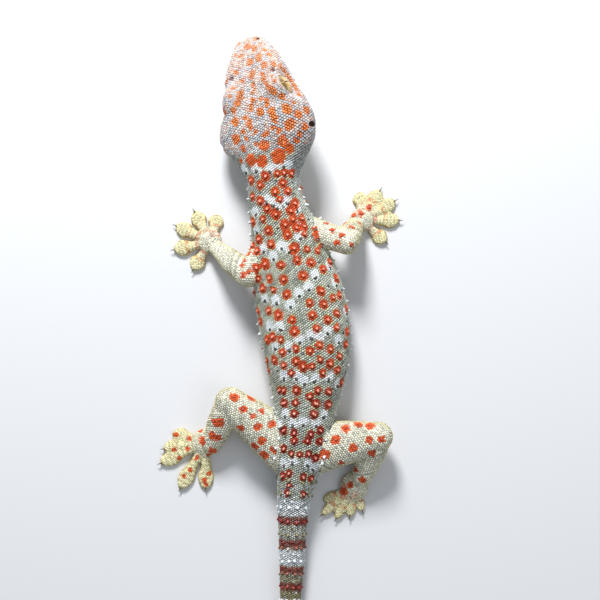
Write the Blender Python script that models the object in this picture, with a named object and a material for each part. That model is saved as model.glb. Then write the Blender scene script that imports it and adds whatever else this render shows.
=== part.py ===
"""Tokay gecko, life size, lying still on a level floor.

Metres, +Z up. The snout points to -Y, the animal's left is +X and the floor is z = 0.
Head, neck, trunk and tail are lengths of one skin, swept along a bent midline and parted by thin cuts.
Each limb is an upper length, a lower length and a foot, each cut clear of what it grows from.
"""

import math

import bmesh
import bpy
import numpy as np
from mathutils import Matrix, Vector

# Clearance between touching pieces
GAP = 0.0003
SEED = 7

# Lengths along the midline, measured back from the snout
MOUTH_CORNER = 0.0290
NAPE = 0.0460
NECK_END = 0.0640
VENT = 0.1680
TAIL_BASE_END = 0.2060
TAIL_MIDDLE_END = 0.2560
TAIL_TIP = 0.3150

# Plan place of the snout, which puts the origin under the middle of the whole animal
SNOUT_X = 0.0112
SNOUT_Y = -0.1527

# The head leans to its left with its snout down, and the neck takes both out
HEAD_ROLL = math.radians(21.0)
HEAD_PITCH = math.radians(8.5)
LEAN_END = 0.0800

# Station, distance behind the snout, half width, rise above and drop below the widest level,
# height of that level, squareness of the upper and of the lower half
BODY = (
    ("snout tip", 0.0000, 0.0000, 0.0000, 0.0000, 0.0082, 2.0, 2.0),
    ("lip front", 0.0004, 0.0034, 0.0017, 0.0014, 0.0082, 2.1, 2.1),
    ("nostrils", 0.0021, 0.0057, 0.0033, 0.0027, 0.0085, 2.2, 2.2),
    ("snout", 0.0080, 0.0096, 0.0050, 0.0043, 0.0094, 2.4, 2.3),
    ("before eyes", 0.0135, 0.0121, 0.0060, 0.0054, 0.0102, 2.5, 2.3),
    ("eyes", 0.0215, 0.0148, 0.0073, 0.0066, 0.0115, 2.6, 2.3),
    ("behind eyes", 0.0290, 0.0171, 0.0083, 0.0075, 0.0127, 2.5, 2.3),
    ("jaw muscle", 0.0365, 0.0188, 0.0090, 0.0080, 0.0138, 2.4, 2.3),
    ("jaw angle", 0.0410, 0.0182, 0.0090, 0.0080, 0.0143, 2.3, 2.2),
    ("nape", 0.0480, 0.0138, 0.0086, 0.0078, 0.0146, 2.2, 2.2),
    ("neck", 0.0570, 0.0098, 0.0080, 0.0076, 0.0140, 2.1, 2.1),
    ("shoulder", 0.0690, 0.0112, 0.0090, 0.0084, 0.0120, 2.1, 2.2),
    ("chest", 0.0830, 0.0140, 0.0112, 0.0089, 0.0095, 2.1, 2.5),
    ("belly front", 0.0980, 0.0166, 0.0124, 0.0088, 0.0084, 2.2, 2.6),
    ("belly", 0.1110, 0.0172, 0.0128, 0.0086, 0.0082, 2.2, 2.6),
    ("loin", 0.1260, 0.0156, 0.0118, 0.0084, 0.0080, 2.2, 2.6),
    ("waist", 0.1420, 0.0121, 0.0100, 0.0080, 0.0077, 2.1, 2.4),
    ("hips", 0.1560, 0.0099, 0.0088, 0.0077, 0.0075, 2.1, 2.3),
    ("vent", 0.1680, 0.0078, 0.0074, 0.0069, 0.0067, 2.1, 2.2),
    ("tail root", 0.1860, 0.0055, 0.0056, 0.0053, 0.0051, 2.1, 2.2),
    ("tail", 0.2120, 0.0041, 0.0042, 0.0040, 0.0038, 2.1, 2.2),
    ("thin tail", 0.2600, 0.0026, 0.0026, 0.0025, 0.0023, 2.0, 2.1),
    ("tail end", 0.3100, 0.0009, 0.0009, 0.0009, 0.0008, 2.0, 2.0),
    ("tail tip", 0.3150, 0.0003, 0.0003, 0.0003, 0.0003, 2.0, 2.0),
)

# Distance behind the snout, and how far the midline there turns from +Y towards the animal's right
HEADINGS = (
    (0.000, 16.0),
    (0.006, 13.2),
    (0.014, 11.0),
    (0.026, 12.9),
    (0.038, 10.2),
    (0.048, 3.8),
    (0.058, 6.6),
    (0.070, 14.7),
    (0.098, 12.5),
    (0.120, 4.3),
    (0.135, -3.8),
    (0.155, -6.7),
    (0.170, -7.8),
    (0.190, -1.3),
    (0.215, -2.0),
    (0.250, 12.0),
    (0.290, 30.0),
    (0.315, 40.0),
)
TABLE_STEPS = 631

# Swellings and hollows of the head: distance, angle from the left side, length, spread, height
BROW = (0.0238, 54.0, 0.0078, 21.0, 0.0013)
FOREHEAD = (0.0170, 90.0, 0.0095, 20.0, -0.0010)
TEMPLE = (0.0350, 58.0, 0.0065, 22.0, 0.0007)
CHEEK = (0.0360, 4.0, 0.0060, 26.0, 0.0004)
CHIN = (0.0100, -90.0, 0.0090, 40.0, 0.0004)

# Eyes, placed from the head's midline: behind the snout, outward, upward
EYE_RADIUS = 0.0049
EYE_BACK = 0.0240
EYE_OUT = 0.0093
EYE_UP = 0.0038
EYE_LOOK = Vector((-0.30, 0.90, 0.27)).normalized()  # tailward, outward, upward
ORBIT_HALF = Vector((0.0072, 0.0058, 0.0055))
LID_OPENING = 0.0042
LID_OUT = 0.0025
LID_RADIUS = 0.00055
LID_BEVEL_DEPTH = 0.0030
LID_BEVEL_WIDTH = 0.0045

# Mouth, nostrils and ears
MOUTH_FRONT_DROP = 0.0008
MOUTH_CORNER_DROP = 0.0021
MOUTH_SAG = 0.0005
JAW_SLANT = 0.0040
LIP_RADIUS = 0.0009
LIP_INSET = 0.0005
NOSTRIL_BACK = 0.0024
NOSTRIL_ANGLE = 36.0
NOSTRIL_RADIUS = 0.0006
EAR_BACK = 0.0392
EAR_ANGLE = 8.0
EAR_HALF = Vector((0.0012, 0.0020, 0.0025))

# Tubercles in rows over back, flanks and tail
TUBERCLE_PITCH = 0.0054
TUBERCLE_ACROSS = 0.0052
TUBERCLE_RADIUS = 0.0011
TUBERCLE_HEIGHT = 0.0010
TUBERCLE_ROOT = 0.0007
TUBERCLE_LOWEST = 14.0
TUBERCLE_JITTER = 0.0005
WHORL_ANGLES = (6.0, 40.0, 73.0, 107.0, 140.0, 174.0)
WHORLS_END = 0.2750
LIMB_CLEARANCE = 0.0016

# Limb joints: left of a fixed place near the snout, behind it, above the floor
JOINTS_X = 0.0090
JOINTS_Y = -0.1524
SHOULDER_LEFT = (-0.0090, 0.0725, 0.0105)
ELBOW_LEFT = (0.0018, 0.0902, 0.0130)
WRIST_LEFT = (0.0138, 0.0802, 0.0038)
PALM_LEFT = (0.0166, 0.0773, 0.0020)
SHOULDER_RIGHT = (-0.0168, 0.0715, 0.0105)
ELBOW_RIGHT = (-0.0350, 0.0778, 0.0150)
WRIST_RIGHT = (-0.0392, 0.0706, 0.0038)
PALM_RIGHT = (-0.0414, 0.0690, 0.0020)
HIP_LEFT = (-0.0135, 0.1565, 0.0072)
KNEE_LEFT = (0.0088, 0.1384, 0.0100)
ANKLE_LEFT = (0.0157, 0.1548, 0.0045)
SOLE_LEFT = (0.0184, 0.1543, 0.0020)
HIP_RIGHT = (-0.0225, 0.1562, 0.0072)
KNEE_RIGHT = (-0.0474, 0.1516, 0.0100)
ANKLE_RIGHT = (-0.0414, 0.1670, 0.0045)
SOLE_RIGHT = (-0.0386, 0.1711, 0.0020)

# Limb thickness from root to end: share of the length, half width, half height
UPPER_ARM = ((0.0, 0.0056, 0.0054), (0.5, 0.0050, 0.0048), (1.0, 0.0045, 0.0044))
FOREARM = ((0.0, 0.0046, 0.0044), (0.4, 0.0046, 0.0042), (1.0, 0.0029, 0.0025))
THIGH = ((0.0, 0.0100, 0.0062), (0.5, 0.0083, 0.0062), (1.0, 0.0056, 0.0053))
SHANK = ((0.0, 0.0050, 0.0050), (0.4, 0.0053, 0.0047), (1.0, 0.0037, 0.0032))
LIMB_SQUARENESS = 2.1
LIMB_SIDES = 14
LIMB_RINGS = 10

# Toes: heading from the animal's left side round towards the tail, and length from the middle of the palm
HAND_LEFT_TOES = ((-105.0, 0.0106), (-62.0, 0.0130), (-25.0, 0.0145), (12.0, 0.0142), (58.0, 0.0124))
HAND_RIGHT_TOES = ((-88.0, 0.0106), (-122.0, 0.0134), (-150.0, 0.0147), (-180.0, 0.0144), (-222.0, 0.0124))
FOOT_LEFT_TOES = ((-14.0, 0.0130), (9.0, 0.0162), (25.0, 0.0190), (61.0, 0.0202), (90.0, 0.0178))
FOOT_RIGHT_TOES = ((26.0, 0.0128), (42.0, 0.0165), (61.0, 0.0142), (82.0, 0.0118), (108.0, 0.0100))
TOE = (
    (0.0, 0.0018, 0.0017),
    (0.42, 0.0016, 0.0014),
    (0.58, 0.0020, 0.0012),
    (0.75, 0.0030, 0.0011),
    (0.88, 0.0025, 0.0010),
    (1.0, 0.0011, 0.0008),
)
FOLDED_FOOT = SOLE_RIGHT
FOLDED_WIDTH = 0.64
TOE_ROOT_HEIGHT = 0.0021
TOE_PAD_HEIGHT = 0.0008
TOE_SIDES = 7
HAND_HALF = Vector((0.0045, 0.0045, 0.0023))
FOOT_HALF = Vector((0.0054, 0.0054, 0.0025))
CLAW_LENGTH = 0.0019
CLAW_ROOT = 0.0008
CLAW_RADIUS = 0.00042
CLAW_RISE = 0.0006

RING_SIDES = 28
TAIL_SIDES = 20
RING_PLACES = (0.0004, 0.0040, 0.0100, 0.0460, 0.0640, 0.1600, 0.2100, 0.3150)
RING_STEPS = (0.0012, 0.0020, 0.0022, 0.0028, 0.0040, 0.0048, 0.0060, 0.0120)
LID_SIDES = 14

SKIN_COLOURS = {
    "back": (0.46, 0.45, 0.36),
    "head": (0.62, 0.60, 0.60),
    "limb": (0.60, 0.60, 0.44),
    "toe": (0.70, 0.62, 0.26),
    "eye": (0.62, 0.44, 0.12),
}


def curve_through(x, knots, values):
    """Smooth curve through the values that doesn't swing past them between knots."""
    knots = np.asarray(knots, float)
    values = np.asarray(values, float)
    step = np.diff(knots)
    slope = np.diff(values) / step
    tangent = np.zeros_like(values)
    tangent[0] = slope[0]
    tangent[-1] = slope[-1]
    for i in range(1, len(values) - 1):
        if slope[i - 1] * slope[i] > 0:
            before = 2 * step[i] + step[i - 1]
            after = step[i] + 2 * step[i - 1]
            tangent[i] = (before + after) / (before / slope[i - 1] + after / slope[i])
    i = np.clip(np.searchsorted(knots, x, side="right") - 1, 0, len(step) - 1)
    t = np.clip((x - knots[i]) / step[i], 0.0, 1.0)
    rise = values[i] + (values[i + 1] - values[i]) * t * t * (3 - 2 * t)
    return rise + step[i] * t * (1 - t) * (tangent[i] * (1 - t) - tangent[i + 1] * t)


def station(distance, column):
    """One measure of the body at a distance behind the snout."""
    return curve_through(distance, [row[1] for row in BODY], [row[column] for row in BODY])


def midline_table():
    """Plan places along the midline, found by adding up its headings."""
    along = np.linspace(0.0, TAIL_TIP, TABLE_STEPS)
    turn = np.radians(curve_through(along, [h[0] for h in HEADINGS], [h[1] for h in HEADINGS]))
    step = along[1] - along[0]
    east = -np.sin(turn)
    north = np.cos(turn)
    x = SNOUT_X + np.concatenate([[0.0], np.cumsum((east[1:] + east[:-1]) / 2 * step)])
    y = SNOUT_Y + np.concatenate([[0.0], np.cumsum((north[1:] + north[:-1]) / 2 * step)])
    return along, turn, x, y


ALONG, TURN, MID_X, MID_Y = midline_table()


def body_frame(distance):
    """Middle of the body there, with its leftward, upward and tailward directions."""
    distance = np.asarray(distance, float)
    turn = np.interp(distance, ALONG, TURN)
    middle = np.stack(
        [np.interp(distance, ALONG, MID_X), np.interp(distance, ALONG, MID_Y), station(distance, 5)], -1
    )
    flat = np.zeros_like(turn)
    back = np.stack([-np.sin(turn), np.cos(turn), flat], -1)
    level = np.stack([np.cos(turn), np.sin(turn), flat], -1)
    fade = np.clip((LEAN_END - distance) / (LEAN_END - NAPE), 0.0, 1.0)
    fade = (fade * fade * (3 - 2 * fade))[..., None]
    roll = HEAD_ROLL * fade
    pitch = HEAD_PITCH * fade
    high = np.array([0.0, 0.0, 1.0])
    tailward = back * np.cos(pitch) + high * np.sin(pitch)
    rise = high * np.cos(pitch) - back * np.sin(pitch)
    left = level * np.cos(roll) - rise * np.sin(roll)
    return middle, left, rise * np.cos(roll) + level * np.sin(roll), tailward


def swelling(distance, angle, shape, mirrored=True):
    """Height of one rounded swelling of the head, on both sides if it is mirrored."""
    middle, bearing, length, spread, height = shape
    sides = (bearing, 180.0 - bearing) if mirrored else (bearing,)
    total = 0.0
    for side in sides:
        away = (np.degrees(angle) - side + 180.0) % 360.0 - 180.0
        total = total + height * np.exp(-(((distance - middle) / length) ** 2) - (away / spread) ** 2)
    return total


def head_relief(distance, angle):
    relief = swelling(distance, angle, BROW) + swelling(distance, angle, TEMPLE)
    relief = relief + swelling(distance, angle, CHEEK)
    relief = relief + swelling(distance, angle, FOREHEAD, mirrored=False)
    return relief + swelling(distance, angle, CHIN, mirrored=False)


def body_surface(distance, angle, grow=0.0):
    """Points of the skin of head, trunk and tail. Angle 0 is the left side, a quarter turn is up."""
    distance, angle = np.broadcast_arrays(np.asarray(distance, float), np.asarray(angle, float))
    across = np.cos(angle)
    over = np.sin(angle)
    power = 2.0 / np.where(over >= 0, station(distance, 6), station(distance, 7))
    half_width = station(distance, 2)
    half_height = np.where(over >= 0, station(distance, 3), station(distance, 4))
    b = half_width * np.sign(across) * np.abs(across) ** power
    c = half_height * np.sign(over) * np.abs(over) ** power
    reach = np.maximum(np.hypot(b, c), 1e-9)
    swell = 1.0 + (head_relief(distance, angle) * np.clip(reach / 0.004, 0.0, 1.0) + grow) / reach
    middle, left, up, _ = body_frame(distance)
    points = middle + left * (b * swell)[..., None] + up * (c * swell)[..., None]
    points[..., 2] = np.maximum(points[..., 2], -grow)
    return points


def head_place(back, out, rise):
    """A point of the head from its distance behind the snout, leftward and upward of the midline."""
    middle, left, up, _ = body_frame(back)
    return Vector(middle + left * out + up * rise)


def head_directions(back, side=1):
    """Columns tailward, outward and upward at that place of the head."""
    _, left, up, tailward = body_frame(back)
    return Matrix((Vector(tailward), Vector(left * side), Vector(up))).transposed()


def paint(name):
    colour = SKIN_COLOURS[name]
    material = bpy.data.materials.new("gecko_" + name)
    material.use_nodes = True
    shader = material.node_tree.nodes["Principled BSDF"]
    shader.inputs["Base Color"].default_value = (*colour, 1.0)
    shader.inputs["Roughness"].default_value = 0.15 if name == "eye" else 0.55
    shader.inputs["Metallic"].default_value = 0.0
    material.diffuse_color = (*colour, 1.0)
    return material


def solid(name, points, faces):
    """A closed object from points and faces, its faces turned outwards."""
    mesh = bpy.data.meshes.new(name)
    mesh.from_pydata([tuple(p) for p in points], [], faces)
    made = bmesh.new()
    made.from_mesh(mesh)
    bmesh.ops.recalc_face_normals(made, faces=made.faces)
    if made.calc_volume(signed=True) < 0:
        bmesh.ops.reverse_faces(made, faces=made.faces)
    made.to_mesh(mesh)
    made.free()
    thing = bpy.data.objects.new(name, mesh)
    bpy.context.scene.collection.objects.link(thing)
    return thing


def swept(name, rings, front_pole=None, back_pole=None):
    """A closed object through rings of equal count, each end a flat cap or a fan to its pole."""
    count, sides = rings.shape[:2]
    points = list(rings.reshape(-1, 3))
    faces = []
    for ring in range(count - 1):
        for side in range(sides):
            here = ring * sides + side
            beside = ring * sides + (side + 1) % sides
            faces.append((here, beside, beside + sides, here + sides))
    for pole, first in ((front_pole, 0), (back_pole, (count - 1) * sides)):
        if pole is None:
            faces.append(tuple(range(first, first + sides)))
            continue
        points.append(pole)
        tip = len(points) - 1
        faces.extend((first + side, first + (side + 1) % sides, tip) for side in range(sides))
    return solid(name, points, faces)


def ellipsoid(name, centre, half, axes=None, segments=14, rings=9):
    """A ball stretched to half sizes along the columns of axes."""
    made = bmesh.new()
    bmesh.ops.create_uvsphere(made, u_segments=segments, v_segments=rings, radius=1.0)
    turn = (axes or Matrix.Identity(3)).to_4x4()
    place = Matrix.Translation(centre) @ turn @ Matrix.Diagonal((*half, 1.0))
    bmesh.ops.transform(made, matrix=place, verts=made.verts)
    points = [v.co.copy() for v in made.verts]
    faces = [tuple(v.index for v in f.verts) for f in made.faces]
    made.free()
    return solid(name, points, faces)


def keep_largest(mesh):
    """Drops every closed surface of the mesh but the one that holds the most."""
    made = bmesh.new()
    made.from_mesh(mesh)
    bmesh.ops.dissolve_degenerate(made, dist=1e-7, edges=made.edges)
    bmesh.ops.triangulate(made, faces=made.faces)
    waiting = set(made.faces)
    islands = []
    while waiting:
        island = {waiting.pop()}
        edge_of_island = list(island)
        while edge_of_island:
            face = edge_of_island.pop()
            for edge in face.edges:
                for other in edge.link_faces:
                    if other in waiting:
                        waiting.remove(other)
                        island.add(other)
                        edge_of_island.append(other)
        islands.append(island)
    held = [sum(f.verts[0].co.dot(f.verts[1].co.cross(f.verts[2].co)) for f in i) for i in islands]
    largest = islands[held.index(max(held))]
    bmesh.ops.delete(made, geom=[f for f in made.faces if f not in largest], context="FACES")
    made.to_mesh(mesh)
    made.free()


def combine(thing, operation, others):
    """Joins the other objects to this one, or takes them from it, and removes them."""
    group = bpy.data.collections.new("operands")
    bpy.context.scene.collection.children.link(group)
    for other in others:
        bpy.context.scene.collection.objects.unlink(other)
        group.objects.link(other)
    change = thing.modifiers.new("combine", "BOOLEAN")
    change.operation = operation
    change.operand_type = "COLLECTION"
    change.collection = group
    change.solver = "MANIFOLD"
    graph = bpy.context.evaluated_depsgraph_get()
    mesh = bpy.data.meshes.new_from_object(thing.evaluated_get(graph))
    thing.modifiers.clear()
    keep_largest(mesh)
    thing.data = mesh
    for other in list(group.objects):
        bpy.data.objects.remove(other)
    bpy.data.collections.remove(group)
    return thing


def body_rings(start, end, grow=0.0, sides=RING_SIDES):
    """Rings of the skin from start to end, close together on the head and wider along the tail."""
    marks = [start]
    while marks[-1] < end:
        place = marks[-1]
        marks.append(place + float(np.interp(place, RING_PLACES, RING_STEPS)))
    marks[-1] = end
    if len(marks) > 2 and end - marks[-2] < 0.4 * (marks[-2] - marks[-3]):
        del marks[-2]
    angle = np.arange(sides) / sides * 2 * math.pi
    return body_surface(np.array(marks)[:, None], angle[None, :], grow)


def body_length(name, start, end, grow=0.0, sides=RING_SIDES):
    """A length of the body, flat where the next one meets it."""
    front = head_place(0.0, 0.0, 0.0) if start <= 0.0004 else None
    return swept(name, body_rings(start, end, grow, sides), front_pole=front)


def limb_rings(start, end, shape, grow=0.0, rings=LIMB_RINGS, sides=LIMB_SIDES, power=LIMB_SQUARENESS):
    """Rings of a limb with rounded ends, and the poles that close it."""
    start, end = np.array(start), np.array(end)
    along = end - start
    length = np.linalg.norm(along)
    along = along / length
    side = np.cross(along, (0.0, 0.0, 1.0))
    side = side / np.linalg.norm(side)
    up = np.cross(side, along)
    first, last = shape[0][1] + grow, shape[-1][1] + grow
    reach = 0.5 - 0.5 * np.cos(np.linspace(0.0, math.pi, rings + 2)[1:-1])
    place = -first + (length + first + last) * reach
    share = np.clip(place / length, 0.0, 1.0)
    marks = [row[0] for row in shape]
    width = curve_through(share, marks, [row[1] for row in shape]) + grow
    height = curve_through(share, marks, [row[2] for row in shape]) + grow
    past = np.where(place < 0.0, -place / first, np.where(place > length, (place - length) / last, 0.0))
    round_off = np.sqrt(np.maximum(1.0 - past**2, 0.0))
    angle = np.arange(sides) / sides * 2 * math.pi
    bulge = 2.0 / power
    wide = np.sign(np.cos(angle)) * np.abs(np.cos(angle)) ** bulge
    tall = np.sign(np.sin(angle)) * np.abs(np.sin(angle)) ** bulge
    points = (
        (start + along * place[:, None])[:, None, :]
        + side * ((width * round_off)[:, None] * wide)[..., None]
        + up * ((height * round_off)[:, None] * tall)[..., None]
    )
    points[..., 2] = np.maximum(points[..., 2], -grow)
    front = start - along * first
    back = end + along * last
    for pole in (front, back):
        pole[2] = max(pole[2], -grow)
    return points, front, back


def limb(name, start, end, shape, grow=0.0):
    points, front, back = limb_rings(start, end, shape, grow)
    return swept(name, points, front, back)


def place_of(joint):
    """World place of a limb joint."""
    left, back, height = joint
    return np.array((JOINTS_X + left, JOINTS_Y + back, height))


def mouth_drop(back):
    """How far the mouth line lies under the head's widest level."""
    share = back / MOUTH_CORNER
    return MOUTH_FRONT_DROP + (MOUTH_CORNER_DROP - MOUTH_FRONT_DROP) * share + MOUTH_SAG * np.sin(math.pi * share)


def jaw_block(name, raised):
    """Everything under the mouth line, out past the skin, as a block to part the jaw with."""
    reach = 0.030
    ahead = -0.006
    backs = np.linspace(0.0, MOUTH_CORNER, 9)
    outline = [(ahead, -MOUTH_FRONT_DROP + raised)]
    outline += [(float(back), float(-mouth_drop(back)) + raised) for back in backs[:-1]]
    outline += [(MOUTH_CORNER + raised, -MOUTH_CORNER_DROP + raised)]
    outline += [(MOUTH_CORNER + JAW_SLANT + raised, -0.016), (ahead, -0.016)]
    forward = head_directions(0.0).col[0]
    sides = []
    for out in (-reach, reach):
        sides.append([head_place(max(b, 0.0), out, rise) + forward * min(b, 0.0) for b, rise in outline])
    count = len(outline)
    faces = [(i, (i + 1) % count, (i + 1) % count + count, i + count) for i in range(count)]
    faces += [tuple(range(count)), tuple(range(count, 2 * count))]
    return solid(name, sides[0] + sides[1], faces)


def lip_rolls():
    """A thin roll round the mouth line, which the mouth cut parts into two lips."""
    backs = np.array([1.0, 0.84, 0.68, 0.52, 0.38, 0.25, 0.15, 0.08, 0.035]) * MOUTH_CORNER
    drop = mouth_drop(backs)
    out = station(backs, 2) * (1 - (drop / station(backs, 4)) ** 2.2) ** (1 / 2.2) - LIP_INSET
    left = [head_place(b, o, -d) for b, o, d in zip(backs, out, drop)]
    right = [head_place(b, -o, -d) for b, o, d in zip(backs, out, drop)]
    front = head_place(LIP_INSET + 0.0002, 0.0, -mouth_drop(0.0))
    path = np.array(left + [front] + right[::-1])
    side = 6
    rings = []
    for i, point in enumerate(path):
        along = Vector(path[min(i + 1, len(path) - 1)] - path[max(i - 1, 0)]).normalized()
        out_way = along.cross(Vector((0, 0, 1))).normalized()
        up_way = out_way.cross(along)
        taper = 0.55 if i in (0, len(path) - 1) else 1.0
        angles = [2 * math.pi * (k + 0.5) / side for k in range(side)]
        radius = LIP_RADIUS * taper
        rings.append([Vector(point) + (out_way * math.cos(a) + up_way * math.sin(a)) * radius for a in angles])
    return swept("lip_rolls", np.array(rings))


def eye_centre(side):
    return head_place(EYE_BACK, side * EYE_OUT, EYE_UP)


def eye_axis(side):
    return (head_directions(EYE_BACK, side) @ EYE_LOOK).normalized()


def orbit(side):
    """The dome that houses the eye, longer than wide."""
    return ellipsoid("orbit", eye_centre(side), ORBIT_HALF, head_directions(EYE_BACK, side), 14, 8)


def cone(name, start, way, depth, near, far, sides):
    """A straight cone from its start along a direction, with its near and far radius."""
    made = bmesh.new()
    bmesh.ops.create_cone(made, cap_ends=True, segments=sides, radius1=near, radius2=far, depth=depth)
    turn = way.to_track_quat("Z", "Y").to_matrix().to_4x4()
    place = Matrix.Translation(start + way * (depth / 2)) @ turn
    bmesh.ops.transform(made, matrix=place, verts=made.verts)
    points = [v.co.copy() for v in made.verts]
    faces = [tuple(v.index for v in f.verts) for f in made.faces]
    made.free()
    return solid(name, points, faces)


def lid_bevel(side):
    """A wide flare along the eye's axis, which flattens the orbit to the level of the lids."""
    axis = eye_axis(side)
    start = eye_centre(side) + axis * (LID_OUT - 0.0002)
    return cone("lid_bevel", start, axis, LID_BEVEL_DEPTH, LID_OPENING, LID_OPENING + LID_BEVEL_WIDTH, LID_SIDES)


def lid_cutter(side):
    """A round plug along the eye's axis, which opens the orbit down to the ball."""
    axis = eye_axis(side)
    return cone("lid_cutter", eye_centre(side) + axis * 0.0012, axis, 0.012, LID_OPENING, LID_OPENING * 1.3, LID_SIDES)


def lid_ring(side):
    """The thick rim of the lids round the opening."""
    axis = eye_axis(side)
    across = axis.cross(Vector((0, 0, 1))).normalized()
    over = across.cross(axis)
    middle = eye_centre(side) + axis * LID_OUT
    radius = LID_OPENING + LID_RADIUS
    points = []
    for k in range(LID_SIDES):
        around = 2 * math.pi * k / LID_SIDES
        spoke = across * math.cos(around) + over * math.sin(around)
        for j in range(5):
            tilt = 2 * math.pi * j / 5
            points.append(middle + spoke * (radius + LID_RADIUS * math.cos(tilt)) + axis * LID_RADIUS * math.sin(tilt))
    faces = []
    for k in range(LID_SIDES):
        for j in range(5):
            here, beside = k * 5 + j, k * 5 + (j + 1) % 5
            faces.append((here, beside, (beside + 5) % len(points), (here + 5) % len(points)))
    return solid("lid_ring", points, faces)


def surface_spot(back, degrees):
    """A place on the skin, with its outward direction."""
    angle = math.radians(degrees)
    here = body_surface(back, angle)
    along = body_surface(back + 0.0004, angle) - here
    round_it = body_surface(back, angle + 0.02) - here
    outward = Vector(np.cross(round_it, along)).normalized()
    middle, *_ = body_frame(back)
    if outward.dot(Vector(here - middle)) < 0:
        outward.negate()
    return Vector(here), outward, Vector(along).normalized()


def ear_cutter(side):
    here, outward, along = surface_spot(EAR_BACK, EAR_ANGLE if side > 0 else 180.0 - EAR_ANGLE)
    up = outward.cross(along) * side
    axes = Matrix((along, outward, up)).transposed()
    return ellipsoid("ear_cutter", here, EAR_HALF, axes, segments=10, rings=6)


def nostril_cutter(side):
    degrees = NOSTRIL_ANGLE if side > 0 else 180.0 - NOSTRIL_ANGLE
    here, _, _ = surface_spot(NOSTRIL_BACK, degrees)
    return ellipsoid("nostril_cutter", here, (NOSTRIL_RADIUS,) * 3, segments=8, rings=5)


def make_head():
    """The head above the mouth line, and the lower jaw under it."""
    nodes = []
    for name, operation, raised in (("head", "DIFFERENCE", GAP), ("lower_jaw", "INTERSECT", 0.0)):
        whole = body_length(name, 0.0004, NAPE)
        combine(whole, "UNION", [orbit(1), orbit(-1)])
        combine(whole, "DIFFERENCE", [lid_bevel(1), lid_bevel(-1)])
        combine(whole, "UNION", [lip_rolls(), lid_ring(1), lid_ring(-1)])
        combine(whole, operation, [jaw_block("jaw_block", raised)])
        nodes.append(whole)
    head, jaw = nodes
    socket = (EYE_RADIUS + GAP,) * 3
    cutters = []
    for side in (1, -1):
        cutters += [ear_cutter(side), nostril_cutter(side), lid_cutter(side)]
        cutters.append(ellipsoid("socket", eye_centre(side), socket, segments=16, rings=10))
    combine(head, "DIFFERENCE", cutters)
    finish(head, "head")
    finish(jaw, "head")


def make_eyes():
    for name, side in (("eye_left", 1), ("eye_right", -1)):
        finish(ellipsoid(name, eye_centre(side), (EYE_RADIUS,) * 3, segments=16, rings=10), "eye")


def tubercle(place, outward, tailward, size=1.0):
    """One low cone that leans back, with its root sunk in the skin."""
    lean = (outward + tailward * 0.35).normalized()
    depth = TUBERCLE_HEIGHT * size + TUBERCLE_ROOT
    return cone("tubercle", place - lean * TUBERCLE_ROOT, lean, depth, TUBERCLE_RADIUS * size * 1.35, 0.0, 5)


def limb_roots():
    """The upper lengths of the four limbs, as start, end, half width and half height."""
    pairs = (
        (SHOULDER_LEFT, ELBOW_LEFT, UPPER_ARM),
        (SHOULDER_RIGHT, ELBOW_RIGHT, UPPER_ARM),
        (HIP_LEFT, KNEE_LEFT, THIGH),
        (HIP_RIGHT, KNEE_RIGHT, THIGH),
    )
    return [(Vector(place_of(a)), Vector(place_of(b)), *shape[0][1:]) for a, b, shape in pairs]


def near_limb(place):
    for start, end, half_width, half_height in limb_roots():
        along = end - start
        share = min(max((place - start).dot(along) / along.length_squared, -0.2), 1.0)
        away = place - (start + along * share)
        level = away.xy.length / (half_width + LIMB_CLEARANCE)
        if level * level + (away.z / (half_height + LIMB_CLEARANCE)) ** 2 < 1.0:
            return True
    return False


def back_rows(start, end):
    """Places of the tubercles of the back, row after row: distance and angle."""
    random = np.random.default_rng(SEED)
    places = []
    distance = start
    row = 0
    while distance < end:
        angle = np.radians(np.linspace(TUBERCLE_LOWEST, 180.0 - TUBERCLE_LOWEST, 181))
        arc = body_surface(distance, angle)
        along = np.concatenate([[0.0], np.cumsum(np.linalg.norm(np.diff(arc, axis=0), axis=1))])
        middle = along[-1] / 2
        count = int(middle / TUBERCLE_ACROSS)
        shift = 0.5 if row % 2 else 0.0
        for column in range(-count - 1, count + 2):
            offset = (column + shift) * TUBERCLE_ACROSS + random.uniform(-1, 1) * TUBERCLE_JITTER
            drift = random.uniform(-1, 1) * TUBERCLE_JITTER
            if abs(offset) < middle:
                places.append((distance + drift, float(np.interp(middle + offset, along, angle))))
        distance += TUBERCLE_PITCH
        row += 1
    return places


def whorl_places(start, end):
    """Places of the tail's tubercles, ring after ring: distance, angle and size."""
    places = []
    distance = start
    while distance < end:
        size = float(np.interp(distance, (0.17, 0.21, WHORLS_END), (0.95, 0.85, 0.45)))
        places += [(distance, math.radians(degrees), size) for degrees in WHORL_ANGLES]
        distance += TUBERCLE_PITCH * (0.55 + 0.45 * size)
    return places


def tubercles_on(places, start, end):
    """Tubercles at those places that stand between the node's two ends and clear of the limbs."""
    made = []
    margin = TUBERCLE_RADIUS + 0.0010
    for distance, angle, *size in places:
        here, outward, tailward = surface_spot(distance, math.degrees(angle))
        if start + margin < distance < end - margin and not near_limb(here):
            made.append(tubercle(here, outward, tailward, *size))
    return made


def make_neck_and_trunk():
    rows = back_rows(NAPE + 0.004, VENT)
    for name, start, end in (("neck", NAPE, NECK_END), ("torso", NECK_END, VENT)):
        node = body_length(name, start + GAP, end)
        combine(node, "UNION", tubercles_on(rows, start, end))
        finish(node, "back")


def make_tail():
    whorls = whorl_places(VENT + 0.003, WHORLS_END)
    lengths = (
        ("tail_base", VENT, TAIL_BASE_END),
        ("tail_middle", TAIL_BASE_END, TAIL_MIDDLE_END),
        ("tail_tip", TAIL_MIDDLE_END, TAIL_TIP),
    )
    for name, start, end in lengths:
        node = body_length(name, start + GAP, end, sides=TAIL_SIDES)
        combine(node, "UNION", tubercles_on(whorls, start, end))
        finish(node, "back")


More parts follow.
